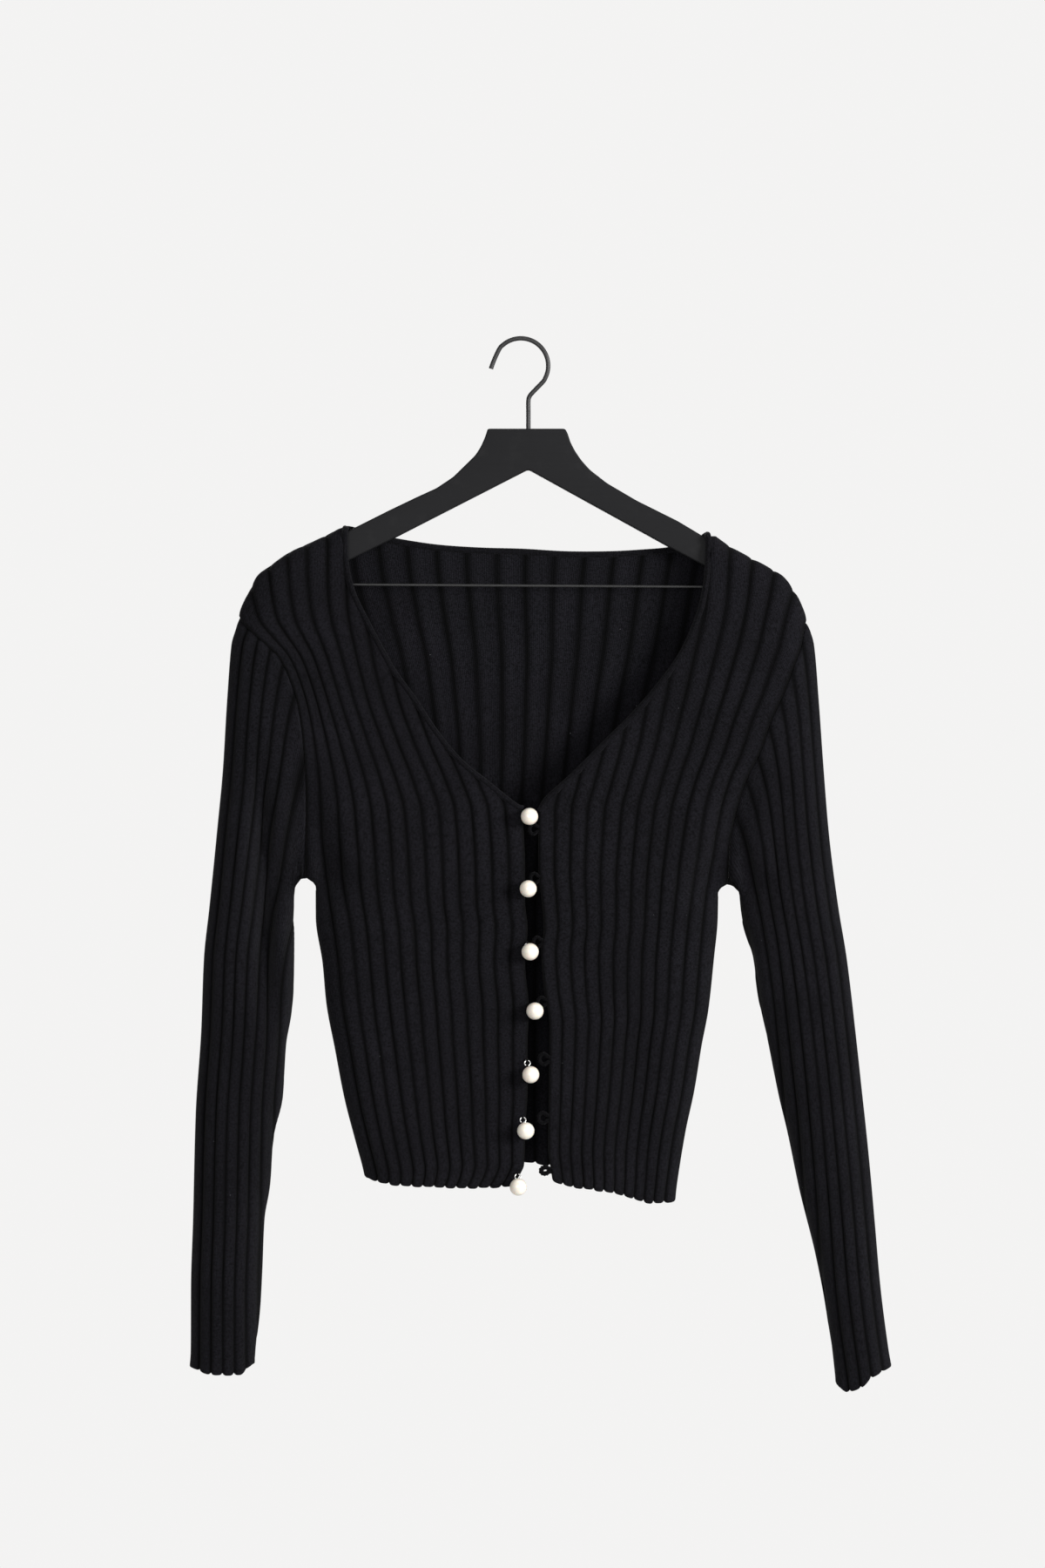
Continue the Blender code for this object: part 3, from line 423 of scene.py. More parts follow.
knit = {
    "columnsPerRib": 10,
    "edgeColumns": (0.04, 0.16, 0.4),  # more columns at a wall's two edges, in columns from the edge
    "closest": 0.035,  # columns nearer than this, in ribs, are left out
    "rowStep": 2.7,
    "topRows": (0, 0.3, 0.8, 1.6, 2.6, 4, 6, 8.5),
    "hemRows": (2.4, 1.2, 0.5, 0),
    "evenRows": (11, 4.5, 15),  # where they begin and end, and what their number leaves out
    "topsBetween": (-420, -140),
    "flatCrown": 3.6,  # higher makes the crowns flatter and the grooves narrower
    "roundCrown": 0.8,
    "grooveTrim": 0.25,
    "wave": 0.05,  # how far a rib strays sideways, in ribs
    "waveLength": {"body": 55, "sleeve": 60},
    "uneven": 0.10,
    "unevenLength": 70,
    "soft": 0.3,  # slow swellings of the whole wall
    "softLength": {"body": 38, "sleeve": 42},
    "softFrom": {"hem": 10, "top": 30, "seam": 40},
    "bands": 0.55,  # the relief on the inside of the back
    "hemBump": 1.9,
    "hemBumpOver": 4.0,
    "hemBumpUneven": 0.35,
    "hemRound": 1.6,
    "hemThin": 0.25,
    "edgeRound": 1.5,
    "edgeThin": 0.45,
    "seamRound": 3.0,
    "seamThin": 0.55,
    "flare": 0.9,
    "flareOver": 5.0,
    "flareCrown": 0.6,  # the share of the flare that only the crowns have
    "walesPerRib": 8,
    "courseHeight": 1.25,
    "insideShare": 0.9,
    # The bands and yarns get the painted groove shade of a rib this high.
    "yarnRelief": 0.8,  # bands and yarns are coloured as this high on a rib
}


def ribRelief(position):
    part = np.abs(2 * (position % 1) - 1)
    return (1 - part ** knit["flatCrown"]) ** knit["roundCrown"]


def softNoise(a, b, seed):
    # Wanders slowly between about -1 and 1.
    value = np.sin(1.7 * a + 0.9 * b + seed) + np.sin(0.61 * a - 1.37 * b + 2.1 * seed) * 0.8
    return (value + np.sin(2.9 * a + 0.33 * b + 3.7 * seed) * 0.5) / 2.3


def gridNormals(points, outward):
    normals = np.cross(np.gradient(points, axis=1), np.gradient(points, axis=0))
    normals /= np.maximum(np.linalg.norm(normals, axis=2, keepdims=True), 1e-9)
    flip = np.sign((normals * outward).sum(2, keepdims=True))
    return normals * np.where(flip == 0, 1, flip)


def newPiece(name, points, faces, coordinates):
    mesh = bpy.data.meshes.new(name)
    mesh.from_pydata((points.reshape(-1, 3) * mm).tolist(), [], faces)
    mesh.update()
    yarn = mesh.attributes.new("yarnCoordinates", "FLOAT_VECTOR", "POINT")
    yarn.data.foreach_set("vector", coordinates.ravel())
    piece = bpy.data.objects.new(name, mesh)
    bpy.context.collection.objects.link(piece)
    mesh.shade_smooth()
    bm = bmesh.new()
    bm.from_mesh(mesh)
    bmesh.ops.recalc_face_normals(bm, faces=bm.faces)
    bm.to_mesh(mesh)
    bm.free()
    return piece


def gridFaces(index):
    return np.stack([index[:-1, :-1], index[:-1, 1:], index[1:, 1:], index[1:, :-1]], -1).reshape(-1, 4)


def clothPiece(name, outer, inner, coordinates, around=False):
    # Two grids of points, one for each side of the cloth, joined at their edges.
    count, width = outer.shape[:2]
    index = np.arange(count * width).reshape(count, width)
    loops = [np.concatenate([index[0], index[1:, -1], index[-1, ::-1][1:], index[::-1, 0][1:]])]
    if around:
        index = np.concatenate([index, index[:, :1]], 1)
        loops = [index[0], index[-1][::-1]]
    shell = count * width
    faces = [gridFaces(index), gridFaces(index)[:, ::-1] + shell]
    for loop in loops:
        faces.append(np.stack([loop[1:], loop[:-1], loop[:-1] + shell, loop[1:] + shell], -1))
    points = np.concatenate([outer.reshape(-1, 3), inner.reshape(-1, 3)])
    both = np.concatenate([coordinates.reshape(-1, 3)] * 2)
    return newPiece(name, points, np.concatenate(faces).tolist(), both)


def ribShares(ribs, extra=()):
    # Where the columns stand across a wall, from 0 to 1, with the extra places among them.
    perRib, closest = knit["columnsPerRib"], knit["closest"]
    positions = [rib + i / perRib for rib in range(ribs) for i in range(perRib)] + [ribs]
    positions += [step / perRib for step in knit["edgeColumns"]]
    positions += [ribs - step / perRib for step in knit["edgeColumns"]]
    positions += [share * ribs for share in extra]
    kept = [0.0]
    for position in np.unique(np.round(positions, 4))[1:-1]:
        if position - kept[-1] > closest and ribs - position > closest:
            kept.append(position)
    return np.array(kept + [ribs]) / ribs


def rowDrops(length):
    # Rows are close together over the shoulder and at the hem.
    top, end = np.array(knit["topRows"]), length - np.array(knit["hemRows"])
    first, last, less = knit["evenRows"]
    middle = np.linspace(first, length - last, int((length - less) / knit["rowStep"]))
    return np.concatenate([top, middle, end]) / length


def topHeights(baseOf, shares, boundaryOuts, boundaryHeights, sign=1):
    heightAt = curveOf({"out": np.asarray(boundaryOuts), "z": np.asarray(boundaryHeights)}, "z", by="out")
    lowest, highest = [np.full(len(shares), float(z)) for z in knit["topsBetween"]]
    return narrowed(lowest, highest, lambda z: z > heightAt(sign * baseOf(shares, z)[:, 0]))[0]


def shoulderLine(side, neckOut):
    outs, heights = innerLine[side]["out"], innerLine[side]["z"]
    corner = float(curveOf(innerLine[side], "z", by="out")(neckOut))
    keep = (outs > neckOut + 1) & (heights > form["tip"][side] - 30)
    return np.concatenate([[neckOut], outs[keep]]), np.concatenate([[corner], heights[keep]])


binding = {
    "diameter": 5.2,
    "middle": 2.3,  # from the neck edge of the outline to the middle of the band
    "tuck": 3.6,  # how far the wall's own edge lies under it
    "lines": ((0.25, 0.16, 1.0), (5.2, 0.2, 0.7)),  # angle, width and share of each knitted line
    "lineDepth": 0.2,
    "stitch": 1.5,
    "bump": 0.03,
    "sides": 20,
    "wales": 7,
    "step": 1.0,
    "lowDepth": 7.5,  # nearer the middle than this, a front band turns over the shoulder
    "endInset": (2.5, 1.5),
    "frontTurn": ((0.55, 0.55, 8.9), (0.86, 0.86, 6.3)),  # shares of the way to the top, and depth
    "backTurn": ((0.7, 0.8, 5.2),),
    "meet": (1.5, 0.15),
    "leanDepth": 9.0,  # deeper than this, the band's lines face straight out
    "cornerRows": (0.2, 2.5, 6, 12, 20),  # the neck edge turns sharply here
    "cornerColumns": (-3, 0, 3, 7),
    "backFrom": 4,  # how far past the neck line's ends the back's shoulders begin
    "backShort": 8,  # the back band's last points stay this far from the corners
}
neckEdges, neckCorners = {}, {}
for side in ("right", "left"):
    outs, heights = movedLine(frontNeck[side]["out"], frontNeck[side]["z"], binding["tuck"])
    shoulder = shoulderLine(side, outs[-1] + 0.4)
    neckEdges[side] = (outs, heights, shoulder)
    neckCorners[side] = (shoulder[0][0], shoulder[1][0])


def shareWhere(baseOf, sign, out, z):
    def isPast(share):
        return sign * baseOf(np.array([share]), np.array([float(z)]))[0, 0] > out

    return float(narrowed(0.0, 1.0, isPast)[1])


# What fronts, back and sleeves have in common.


def ribbing(phase, z, seed):
    relief = ribRelief(phase)
    return relief, 1 + knit["uneven"] * softNoise(np.floor(phase) * 1.3, z / knit["unevenLength"], seed + 2)


def hemRounding(fromHem):
    return rounded(fromHem / knit["hemRound"]) * (1 - knit["hemThin"]) + knit["hemThin"]


def hemFlare(fromHem, relief):
    crowns = 1 - knit["flareCrown"] + knit["flareCrown"] * relief
    return knit["flare"] * np.exp(-fromHem / knit["flareOver"]) * crowns


def hemScallop(fromHem, position, seed):
    uneven = 1 + knit["hemBumpUneven"] * softNoise(np.floor(position) * 2.1, 0, seed + 9)
    drop = knit["hemBump"] * ribRelief(position) * uneven
    return np.exp(-fromHem / knit["hemBumpOver"]) * drop[None, :]


def crownHeight(swelling):
    return form["groove"] - knit["grooveTrim"] + (form["rise"] + knit["grooveTrim"]) * swelling


def wall(baseOf, shares, tops, hems, ribs, face, seed, insideBands=0.0, freeEdge=True):
    drops = rowDrops(np.max(tops - hems))
    position = shares * ribs
    still = np.clip(np.minimum(shares, 1 - shares) * ribs, 0, 1)[None, :]  # ribs keep to the seams
    z = tops[None, :] + (hems - tops)[None, :] * drops[:, None]
    share = np.broadcast_to(shares[None, :], z.shape)
    base = baseOf(share, z)
    normals = gridNormals(base, np.array([0, face, 0.15]))
    stray = softNoise(position[None, :] * 0.8, z / knit["waveLength"]["body"], seed)
    phase = position[None, :] + knit["wave"] * still * stray
    relief, uneven = ribbing(phase, z, seed)
    fromHem = z - hems[None, :]
    edge = hemRounding(fromHem)
    if freeEdge:
        distance = share * np.abs(base[:, :1, 0] - base[:, -1:, 0])
        edge = edge * (knit["edgeThin"] + (1 - knit["edgeThin"]) * rounded(distance / knit["edgeRound"]))
    thick = crownHeight(relief * uneven) * edge
    soft = knit["soft"] * softNoise(share * ribs * 0.35, z / knit["softLength"]["body"], seed + 5)
    soft = soft * np.clip(fromHem / knit["softFrom"]["hem"], 0, 1)
    soft = soft * np.clip((tops[None, :] - z) / knit["softFrom"]["top"], 0, 1) * still
    swell = hemFlare(fromHem, relief) + soft
    base = base + swell[..., None] * normals
    outer = base + normals * thick[..., None]
    lower = hemScallop(fromHem, position, seed)
    outer[..., 2] -= lower
    inner = base - normals * (insideBands * ribRelief(phase + 0.5) * edge * still)[..., None]
    inner[..., 2] -= lower * knit["insideShare"]
    down = (tops[None, :] - z) / knit["courseHeight"]
    # The relief goes into the third yarn coordinate, which the knit's finish uses to paint shade into the
    # grooves.
    return outer, inner, np.stack([phase * knit["walesPerRib"], down, relief], -1)


def makeFront(side, ribs, seed):
    def baseOf(share, z):
        return frontBase(side, share, z)

    outs, heights, shoulder = neckEdges[side]
    cornerOut, cornerZ = neckCorners[side]
    edge = curveOf({"z": np.append(heights, cornerZ), "out": np.append(outs, cornerOut)}, "out")
    below = [cornerZ - drop for drop in binding["cornerRows"]]
    shares = ribShares(ribs, [shareWhere(baseOf, signOf[side], float(edge(z)), z) for z in below])
    boundary = (np.concatenate([outs, shoulder[0]]), np.concatenate([heights, shoulder[1]]))
    tops = topHeights(baseOf, shares, *boundary, sign=signOf[side])
    tops[-1] = form["tip"][side]
    hems = curveOf(frontHem[side], "z", by="share")(shares)
    return clothPiece(f"front{side.title()}Knit", *wall(baseOf, shares, tops, hems, ribs, -1, seed))


def makeBack(ribs, seed):
    outs, heights = movedLine(backNeck["x"], backNeck["z"], binding["tuck"])
    ends = {"right": -outs[0] + binding["backFrom"], "left": outs[-1] + binding["backFrom"]}
    lines = {side: shoulderLine(side, end) for side, end in ends.items()}
    boundaryX = np.concatenate([-lines["right"][0][::-1], outs, lines["left"][0]])
    boundaryZ = np.concatenate([lines["right"][1][::-1], heights, lines["left"][1]])
    extra = []
    for side in ("right", "left"):
        cornerOut, cornerZ = neckCorners[side]
        outs = [signOf[side] * (cornerOut - inwards) for inwards in binding["cornerColumns"]]
        extra += [shareWhere(backBase, 1, x, cornerZ) for x in outs]
    shares = ribShares(ribs, extra)
    tops = topHeights(backBase, shares, boundaryX, boundaryZ)
    tops[0], tops[-1] = form["tip"]["right"], form["tip"]["left"]
    hems = curveOf(backHem, "z", by="share")(shares)
    return clothPiece("backKnit", *wall(backBase, shares, tops, hems, ribs, 1, seed, knit["bands"], False))


sleeveEnds = {"cuffZ": -828.0, "tuck": 2.0, "under": (0.4, 1.5), "risesOver": 6, "risesFrom": 0.15}


def makeSleeve(side, seed):
    perRib, ribs = knit["columnsPerRib"], sleeveRibs[side]["ribs"]
    position = np.arange(2 * ribs * perRib) / perRib
    face = np.where(position <= ribs, -1, 1)
    place = np.where(position <= ribs, position, 2 * ribs - position)
    top = sleeveTops(side, place)
    atCuff = np.abs(sleeveBase(side, -1, place, top, np.full(len(place), sleeveEnds["cuffZ"]))[:, 0])
    share = (atCuff.max() - atCuff) / (atCuff.max() - atCuff.min())
    cuff = curveOf(cuffLine[side], "z", by="share")(share)
    drops = rowDrops(np.max(top - cuff))
    z = top[None, :] + (cuff - top)[None, :] * drops[:, None]
    base = sleeveBase(side, face[None, :], np.broadcast_to(place, z.shape), top[None, :], z)
    fromSeam, fromCuff = top[None, :] - z, z - cuff[None, :]
    normals = sleeveNormals(side, face[None, :], np.abs(base[..., 0]), z)
    # Relief fades where ribs bunch together at the inner fold.
    step = np.linalg.norm(np.roll(base, -1, 1) - np.roll(base, 1, 1), axis=2) / 2
    most, least = sleeveRibs["opens"]
    opened = np.clip(step * perRib / sleeveRibs[side]["pitch"] * most - least, 0, 1)
    turn = np.cos(np.pi * position / ribs)
    phase = position[None, :] + knit["wave"] * softNoise(turn * 3, z / knit["waveLength"]["sleeve"], seed)
    relief, uneven = ribbing(phase, z, seed)
    relief = relief * opened
    seamEdge = knit["seamThin"] + (1 - knit["seamThin"]) * rounded(fromSeam / knit["seamRound"])
    rising = np.clip(fromSeam / sleeveEnds["risesOver"] + sleeveEnds["risesFrom"], 0, 1)
    thick = crownHeight(relief * uneven * rising) * (hemRounding(fromCuff) * seamEdge)
    soft = knit["soft"] * softNoise(turn * 1.5, z / knit["softLength"]["sleeve"], seed + 5)
    soft = soft * np.clip(fromSeam / knit["softFrom"]["seam"], 0, 1)
    swell = soft * np.clip(fromCuff / knit["softFrom"]["hem"], 0, 1) + hemFlare(fromCuff, relief)
    base = base + normals * swell[..., None]
    outer = base + normals * thick[..., None]
    lower = hemScallop(fromCuff, position, seed) * opened
    outer[..., 2] -= lower
    inner = base
    inner[..., 2] -= lower * knit["insideShare"]
    # The relief goes into the third yarn coordinate, which the knit's finish uses to paint shade into the
    # grooves.
    coordinates = np.stack([phase * knit["walesPerRib"], fromSeam / knit["courseHeight"], relief], -1)
    # The top edge is tucked under the armhole edge.
    up = outer[0] - outer[1]
    up = up / np.maximum(np.linalg.norm(up, axis=1, keepdims=True), 1e-6)
    under = inner[0] + up * sleeveEnds["tuck"]
    outer = np.concatenate([(under - normals[0] * sleeveEnds["under"][0])[None], outer])
    inner = np.concatenate([(under - normals[0] * sleeveEnds["under"][1])[None], inner])
    coordinates = np.concatenate([coordinates[:1], coordinates])
    return clothPiece(f"sleeve{side.title()}Knit", outer, inner, coordinates, around=True)


frontRight = makeFront("right", 13, 1.0)
frontLeft = makeFront("left", 12, 4.0)
print("fronts knitted")
backPiece = makeBack(22, 7.0)
sleeveRight = makeSleeve("right", 2.0)
sleeveLeft = makeSleeve("left", 9.0)
print("back and sleeves knitted")

# Bands, loops and threads, swept along their own lines.


def sweep(name, path, faceNormals, ringOf, around=False, wales=6.0):
    path = np.asarray(path, float)
    tangents = np.roll(path, -1, 0) - np.roll(path, 1, 0) if around else np.gradient(path, axis=0)
    tangents /= np.linalg.norm(tangents, axis=1, keepdims=True)
    up = faceNormals - (faceNormals * tangents).sum(1, keepdims=True) * tangents
    up /= np.linalg.norm(up, axis=1, keepdims=True)
    across = np.cross(tangents, up)
    along = np.concatenate([[0], np.cumsum(np.linalg.norm(np.diff(path, axis=0), axis=1))])[:, None]
    rings, sides = len(path), ringOf["sides"]
    angles = np.linspace(0, 2 * np.pi, sides, endpoint=False)
    radius = ringOf["radius"](along, angles[None, :])
    turn = angles[None, :, None]
    offset = np.cos(turn) * up[:, None, :] + np.sin(turn) * across[:, None, :]
    points = path[:, None, :] + offset * radius[..., None]
    index = np.arange(rings * sides).reshape(rings, sides)
    ends = [] if around else [index[0][::-1].tolist(), index[-1].tolist()]
    index = np.concatenate([index, index[:, :1]], 1)
    if around:
        index = np.concatenate([index, index[:1]], 0)
    ring = np.broadcast_to(angles / (2 * np.pi) * wales, (rings, sides))
    length = np.broadcast_to(along / knit["courseHeight"], (rings, sides))
    coordinates = np.stack([ring, length, 0 * ring + knit["yarnRelief"]], -1)
    return newPiece(name, points, gridFaces(index).tolist() + ends, coordinates)


def alongLine(points, step):
    # A smooth line through the points, in even steps.
    points = np.asarray(points, float)
    before = np.vstack([2 * points[0] - points[1], points[:-1]])
    after = np.vstack([points[1:], 2 * points[-1] - points[-2]])
    dense = []
    for a, b, c, d in zip(before, points[:-1], points[1:], after[1:]):
        for t in np.linspace(0, 1, 12, endpoint=False):
            square, cube = 2 * a - 5 * b + 4 * c - d, 3 * b - a - 3 * c + d
            dense.append(0.5 * (2 * b + (c - a) * t + square * t**2 + cube * t**3))
    dense = np.array(dense + [points[-1]])
    length = np.concatenate([[0], np.cumsum(np.linalg.norm(np.diff(dense, axis=0), axis=1))])
    places = np.linspace(0, length[-1], max(int(length[-1] / step), 4))
    return np.stack([np.interp(places, length, dense[:, axis]) for axis in range(3)], -1)


def bandRadius(along, angle):
    lines = sum(share * np.exp(-(((angle - at) / width) ** 2)) for at, width, share in binding["lines"])
    bumps = binding["bump"] * np.abs(np.sin(np.pi * along / binding["stitch"]))
    return binding["diameter"] / 2 * (1 - binding["lineDepth"] * lines + bumps)


def bandEnd(side, near, face, turn):
    # From the last point of a band over the shoulder, to where front and back bands meet.
    cornerOut, cornerZ = neckCorners[side]
    inset, rise = binding["endInset"]
    x, z = signOf[side] * (cornerOut - inset), cornerZ + rise
    line = []
    for across, risen, depth in turn:
        line.append([blend(near[0], x, across), face * depth, blend(near[2], z, risen)])
    return line + [[x, face * depth, z] for depth in binding["meet"]]


def sweepBand(name, points, face):
    path = alongLine(points, binding["step"])
    lean = np.clip(np.abs(path[:, 1]) / binding["leanDepth"], 0, 1)
    normals = np.stack([0 * lean, face * lean, 1.02 - lean], -1)  # upwards on top of the shoulder
    ring = {"sides": binding["sides"], "radius": bandRadius}
    return sweep(name, path, normals, ring, wales=binding["wales"])


def makeFrontBand(side):
    outs, heights = movedLine(frontNeck[side]["out"], frontNeck[side]["z"], binding["middle"])
    edgeOuts, edgeHeights = neckEdges[side][0], neckEdges[side][1]
    depth = halfDepth(side, "body", edgeOuts, edgeHeights) + form["gap"] / 2 + form["groove"] / 2
    points = np.stack([signOf[side] * outs, -depth, heights], -1)
    points = points[points[:, 1] < -binding["lowDepth"]]
    end = bandEnd(side, points[-1], -1, binding["frontTurn"])
    return sweepBand(f"neckBand{side.title()}", np.vstack([points, end]), -1)


def makeBackBand():
    x, z = movedLine(backNeck["x"], backNeck["z"], binding["middle"])
    right, left = [neckCorners[side][0] - binding["backShort"] for side in ("right", "left")]
    keep = (x > -right) & (x < left)
    x, z = x[keep], z[keep]
    points = np.stack([x, backDepth(x, z) + form["groove"] / 2, z], -1)
    first = bandEnd("right", points[0], 1, binding["backTurn"])
    last = bandEnd("left", points[-1], 1, binding["backTurn"])
    return sweepBand("neckBandBack", np.vstack([first[::-1], points, last]), 1)


bands = [makeFrontBand("right"), makeFrontBand("left"), makeBackBand()]
print("neck band rolled")

# Pearls, their wire eyes, and the yarn loops.

pearls = {
    "diameter": 13.8,
    "segments": 40,
    "rings": 24,
    "uneven": (0.012, 0.01),  # no two balls are quite alike
    "drill": {"rim": 0.25, "depth": 0.35, "facing": 0.985},
    "places": ((7, -383), (6, -441), (7.5, -491.5), (11.4, -539), (8, -590), (4, -635), (-2, -680)),
    "eyeRadius": 2.3,
    "eyeWire": 0.46,
    "wireSides": 12,
    "eyeTop": 0.98,  # where the threads go round it, in its radius
    "eyeTilt": 25,
    "eyeTurns": (-62, 238, 34),  # first and last angle, and points between
    "eyeOff": 2.6,  # how far in front of the cloth its middle hangs
    "eyeRise": (4.2, 4.2, 4.9, 4.2, 9.5, 8.7, 8.1),
    "eyeInset": 2.8,
    "eyeReach": (3.0, 3.0, 2.0, 3.0, 2.7, 2.2, 0.4),
    "shankIn": 1.0,
    "wireStep": 0.35,
    "threads": ((-0.5, 0.9, 0.1), (0.0, 0.9, -0.1), (0.5, 0.9, -0.3)),  # from the eye's top
    "threadLoop": 1.35,
    "threadRadius": 0.34,
    "threadPoints": 18,
}
loops = {
    "heights": (-393, -433, -484, -532, -578, -625, -667),
    "wide": (3.0, 3.0, 3.0, 3.0, 3.4, 3.4, 3.1),
    "tall": (4.0, 4.0, 4.0, 4.0, 4.2, 4.2, 2.5),
    "yarn": (1.5, 1.5, 1.5, 1.5, 1.6, 1.6, 2.2),
    "turns": (38, 322, 40),
    "sag": 0.5,
    "twist": 1.9,
    "plies": (0.86, 0.14),  # the round of the yarn, and how far two plies stand out of it
    "sewnIn": 0.6,
    "sewnEnd": (2.6, 0.1, 1.0),
    "step": 0.45,
    "sides": 14,
    "wales": 2,
}


def frontFaceY(z):
    return -(float(depthAt(z)) + form["gap"] / 2 + form["groove"] + form["rise"])


def pearlY(z):
    return frontFaceY(z) - form["gap"] - pearls["diameter"] / 2


def selectNone():
    bpy.ops.object.select_all(action="DESELECT")


def setActive(piece):
    selectNone()
    piece.select_set(True)
    bpy.context.view_layer.objects.active = piece


def settle(piece):
    setActive(piece)
    bpy.ops.object.transform_apply(location=True, rotation=True, scale=True)


def makePearl(number, x, z, towardsEye):
    drill = pearls["drill"]
    selectNone()
    bpy.ops.mesh.primitive_uv_sphere_add(
        segments=pearls["segments"],
        ring_count=pearls["rings"],
        radius=pearls["diameter"] / 2 * mm,
        location=(0, 0, 0),
    )
    piece = bpy.context.object
    piece.name = f"pearlBall_{number}"
    bpy.ops.object.mode_set(mode="EDIT")
    bpy.ops.mesh.select_all(action="DESELECT")
    bpy.ops.object.mode_set(mode="OBJECT")
    for polygon in piece.data.polygons:  # the drilled end
        polygon.select = polygon.normal.z > drill["facing"]
    bpy.ops.object.mode_set(mode="EDIT")
    bpy.ops.mesh.inset(thickness=drill["rim"] * mm, use_even_offset=True)
    bpy.ops.transform.translate(value=(0, 0, -drill["depth"] * mm))
    bpy.ops.mesh.select_all(action="DESELECT")
    bpy.ops.object.mode_set(mode="OBJECT")
    piece.rotation_mode = "QUATERNION"
    piece.rotation_quaternion = Vector(towardsEye).to_track_quat("Z", "Y")
    piece.location = (x * mm, pearlY(z) * mm, z * mm)
    wide, tall = pearls["uneven"]
    piece.scale = (1 + wide * math.sin(number * 2.3), 1, 1 + tall * math.cos(number * 1.7))
    settle(piece)
    bpy.ops.object.shade_smooth()
    return piece


def roundRing(radius):
    return {"sides": pearls["wireSides"], "radius": lambda along, angle: radius + 0 * along * angle}


def circle(centre, radius, across, up, turns):
    across, up = np.array(across), np.array(up)
    return [centre + radius * (math.cos(t) * across + math.sin(t) * up) for t in turns]


def makeEye(number, x, z):
    # The wire rises out of the ball and turns round into an eye, as near the front's edge as it reaches.
    far, reach = pearls["eyeRise"][number - 1], pearls["eyeReach"][number - 1]
    edge = -float(edgeAt["right"](z + far))
    shift = min(max(edge - pearls["eyeInset"] - x, -reach), reach)
    centre = np.array([x + shift, frontFaceY(z) - pearls["eyeOff"], z + math.sqrt(far**2 - shift**2)])
    tilt = math.radians(pearls["eyeTilt"])
    up = np.array([0, math.sin(tilt), math.cos(tilt)])
    ring = circle(centre, pearls["eyeRadius"], (1, 0, 0), up, np.radians(np.linspace(*pearls["eyeTurns"])))
    ball = np.array([x, pearlY(z), z])
    towards = ring[0] - ball
    towards = towards / np.linalg.norm(towards)
    start = ball + towards * (pearls["diameter"] / 2 - pearls["shankIn"])
    path = alongLine([start, (start + ring[0]) / 2] + ring, pearls["wireStep"])
    normals = np.tile(np.array([0.02, -0.9, 0.42]), (len(path), 1))
    piece = sweep(f"wireEye_{number}", path, normals, roundRing(pearls["eyeWire"]))
    top = centre + up * pearls["eyeRadius"] * pearls["eyeTop"]
    threads = []
    turns = np.radians(np.linspace(0, 360, pearls["threadPoints"], endpoint=False))
    for i, place in enumerate(pearls["threads"]):  # rings of thread that tie the eye to the edge
        path = circle(top + np.array(place), pearls["threadLoop"], (0.12, 1, 0.1), (0.05, 0, 1), turns)
        normals, ring = np.tile([1.0, 0, 0.0], (len(path), 1)), roundRing(pearls["threadRadius"])
        threads.append(sweep(f"eyeThread_{number}_{i}", path, normals, ring, around=True))
    return piece, threads, towards


def makeLoop(number, z):
    wide, tall, yarn = (loops[name][number - 1] for name in ("wide", "tall", "yarn"))
    x = float(edgeAt["left"](z)) + loops["sewnIn"] - yarn - wide
    y = -(float(depthAt(z)) + form["gap"] / 2 + form["groove"] / 2)
    sag = loops["sag"] * math.sin(number * 2.1)
    points = []
    for t in np.radians(np.linspace(*loops["turns"])):
        height = z + tall * math.sin(t) - sag * (1 - math.cos(t)) / 2
        points.append([x + wide * math.cos(t), y - 0.4 * math.sin(t), height])
    inwards, back, apart = loops["sewnEnd"]
    first, last = np.array(points[0]), np.array(points[-1])
    points = [first + [inwards, back, -apart]] + points + [last + [inwards, back, apart]]
    path = alongLine(points, loops["step"])
    normals = np.tile(np.array([0, -1.0, 0.02]), (len(path), 1))
    even, ply = loops["plies"]

    def radius(along, angle):
        return yarn * (even + ply * np.cos(2 * (angle - loops["twist"] * along)))

    ring = {"sides": loops["sides"], "radius": radius}
    return sweep(f"yarnLoop_{number}", path, normals, ring, wales=loops["wales"])


pearlPieces, eyePieces, threadPieces, loopPieces = [], [], [], []
for number, (x, z) in enumerate(pearls["places"], 1):
    eye, threads, towards = makeEye(number, x, z)
    pearlPieces.append(makePearl(number, x, z, towards))
    eyePieces.append(eye)
    threadPieces.append(threads)
    loopPieces.append(makeLoop(number, loops["heights"][number - 1]))
print("pearls hung")

# The hanger.

hanger = {
    "thickness": 12.0,
    "edge": 1.4,
    "edgeSteps": 5,
    "smoothUnder": 32,
    "corner": 2.2,
    "outline": (
        (-26.6, -71.1), (35.8, -71.1), (37.8, -75), (40, -82), (43.6, -89), (48.8, -96.6),
        (55.6, -104.2), (69.5, -115), (93, -128.8), (126.5, -145.5), (149, -159), (168, -169.4),
        (180, -176.5), (196, -187), (205, -196.5), (206.5, -203.5), (202, -207.5), (190, -202.5),
        (149, -182), (118.5, -166), (6, -104), (-100.5, -158.5), (-138.5, -177), (-182, -198),
        (-195, -203.5), (-200, -200), (-198.5, -193), (-190, -182.5), (-176, -172.5), (-163, -165),
        (-149, -158.8), (-133, -150.4), (-105.5, -136.6), (-84, -126.3), (-68, -119), (-54.5, -110),
        (-42.5, -98.3), (-36.4, -92.2), (-32.2, -85.6), (-29, -78.5), (-27.4, -73.6),
    ),
}
hook = {
    "wire": 3.7,
    "radius": 22.05,
    "turns": (140.0, -36.0, 21),  # first and last angle, and points between
    "tip": ((-24.1, -22.7), (-22.3, -17.6), (-19.9, -12.0)),
    "stem": ((9.3, -42.0), (7.0, -45.0), (6.1, -48.6), (6.1, -58), (6.1, -71.0)),
    "tipRound": 0.9,
}
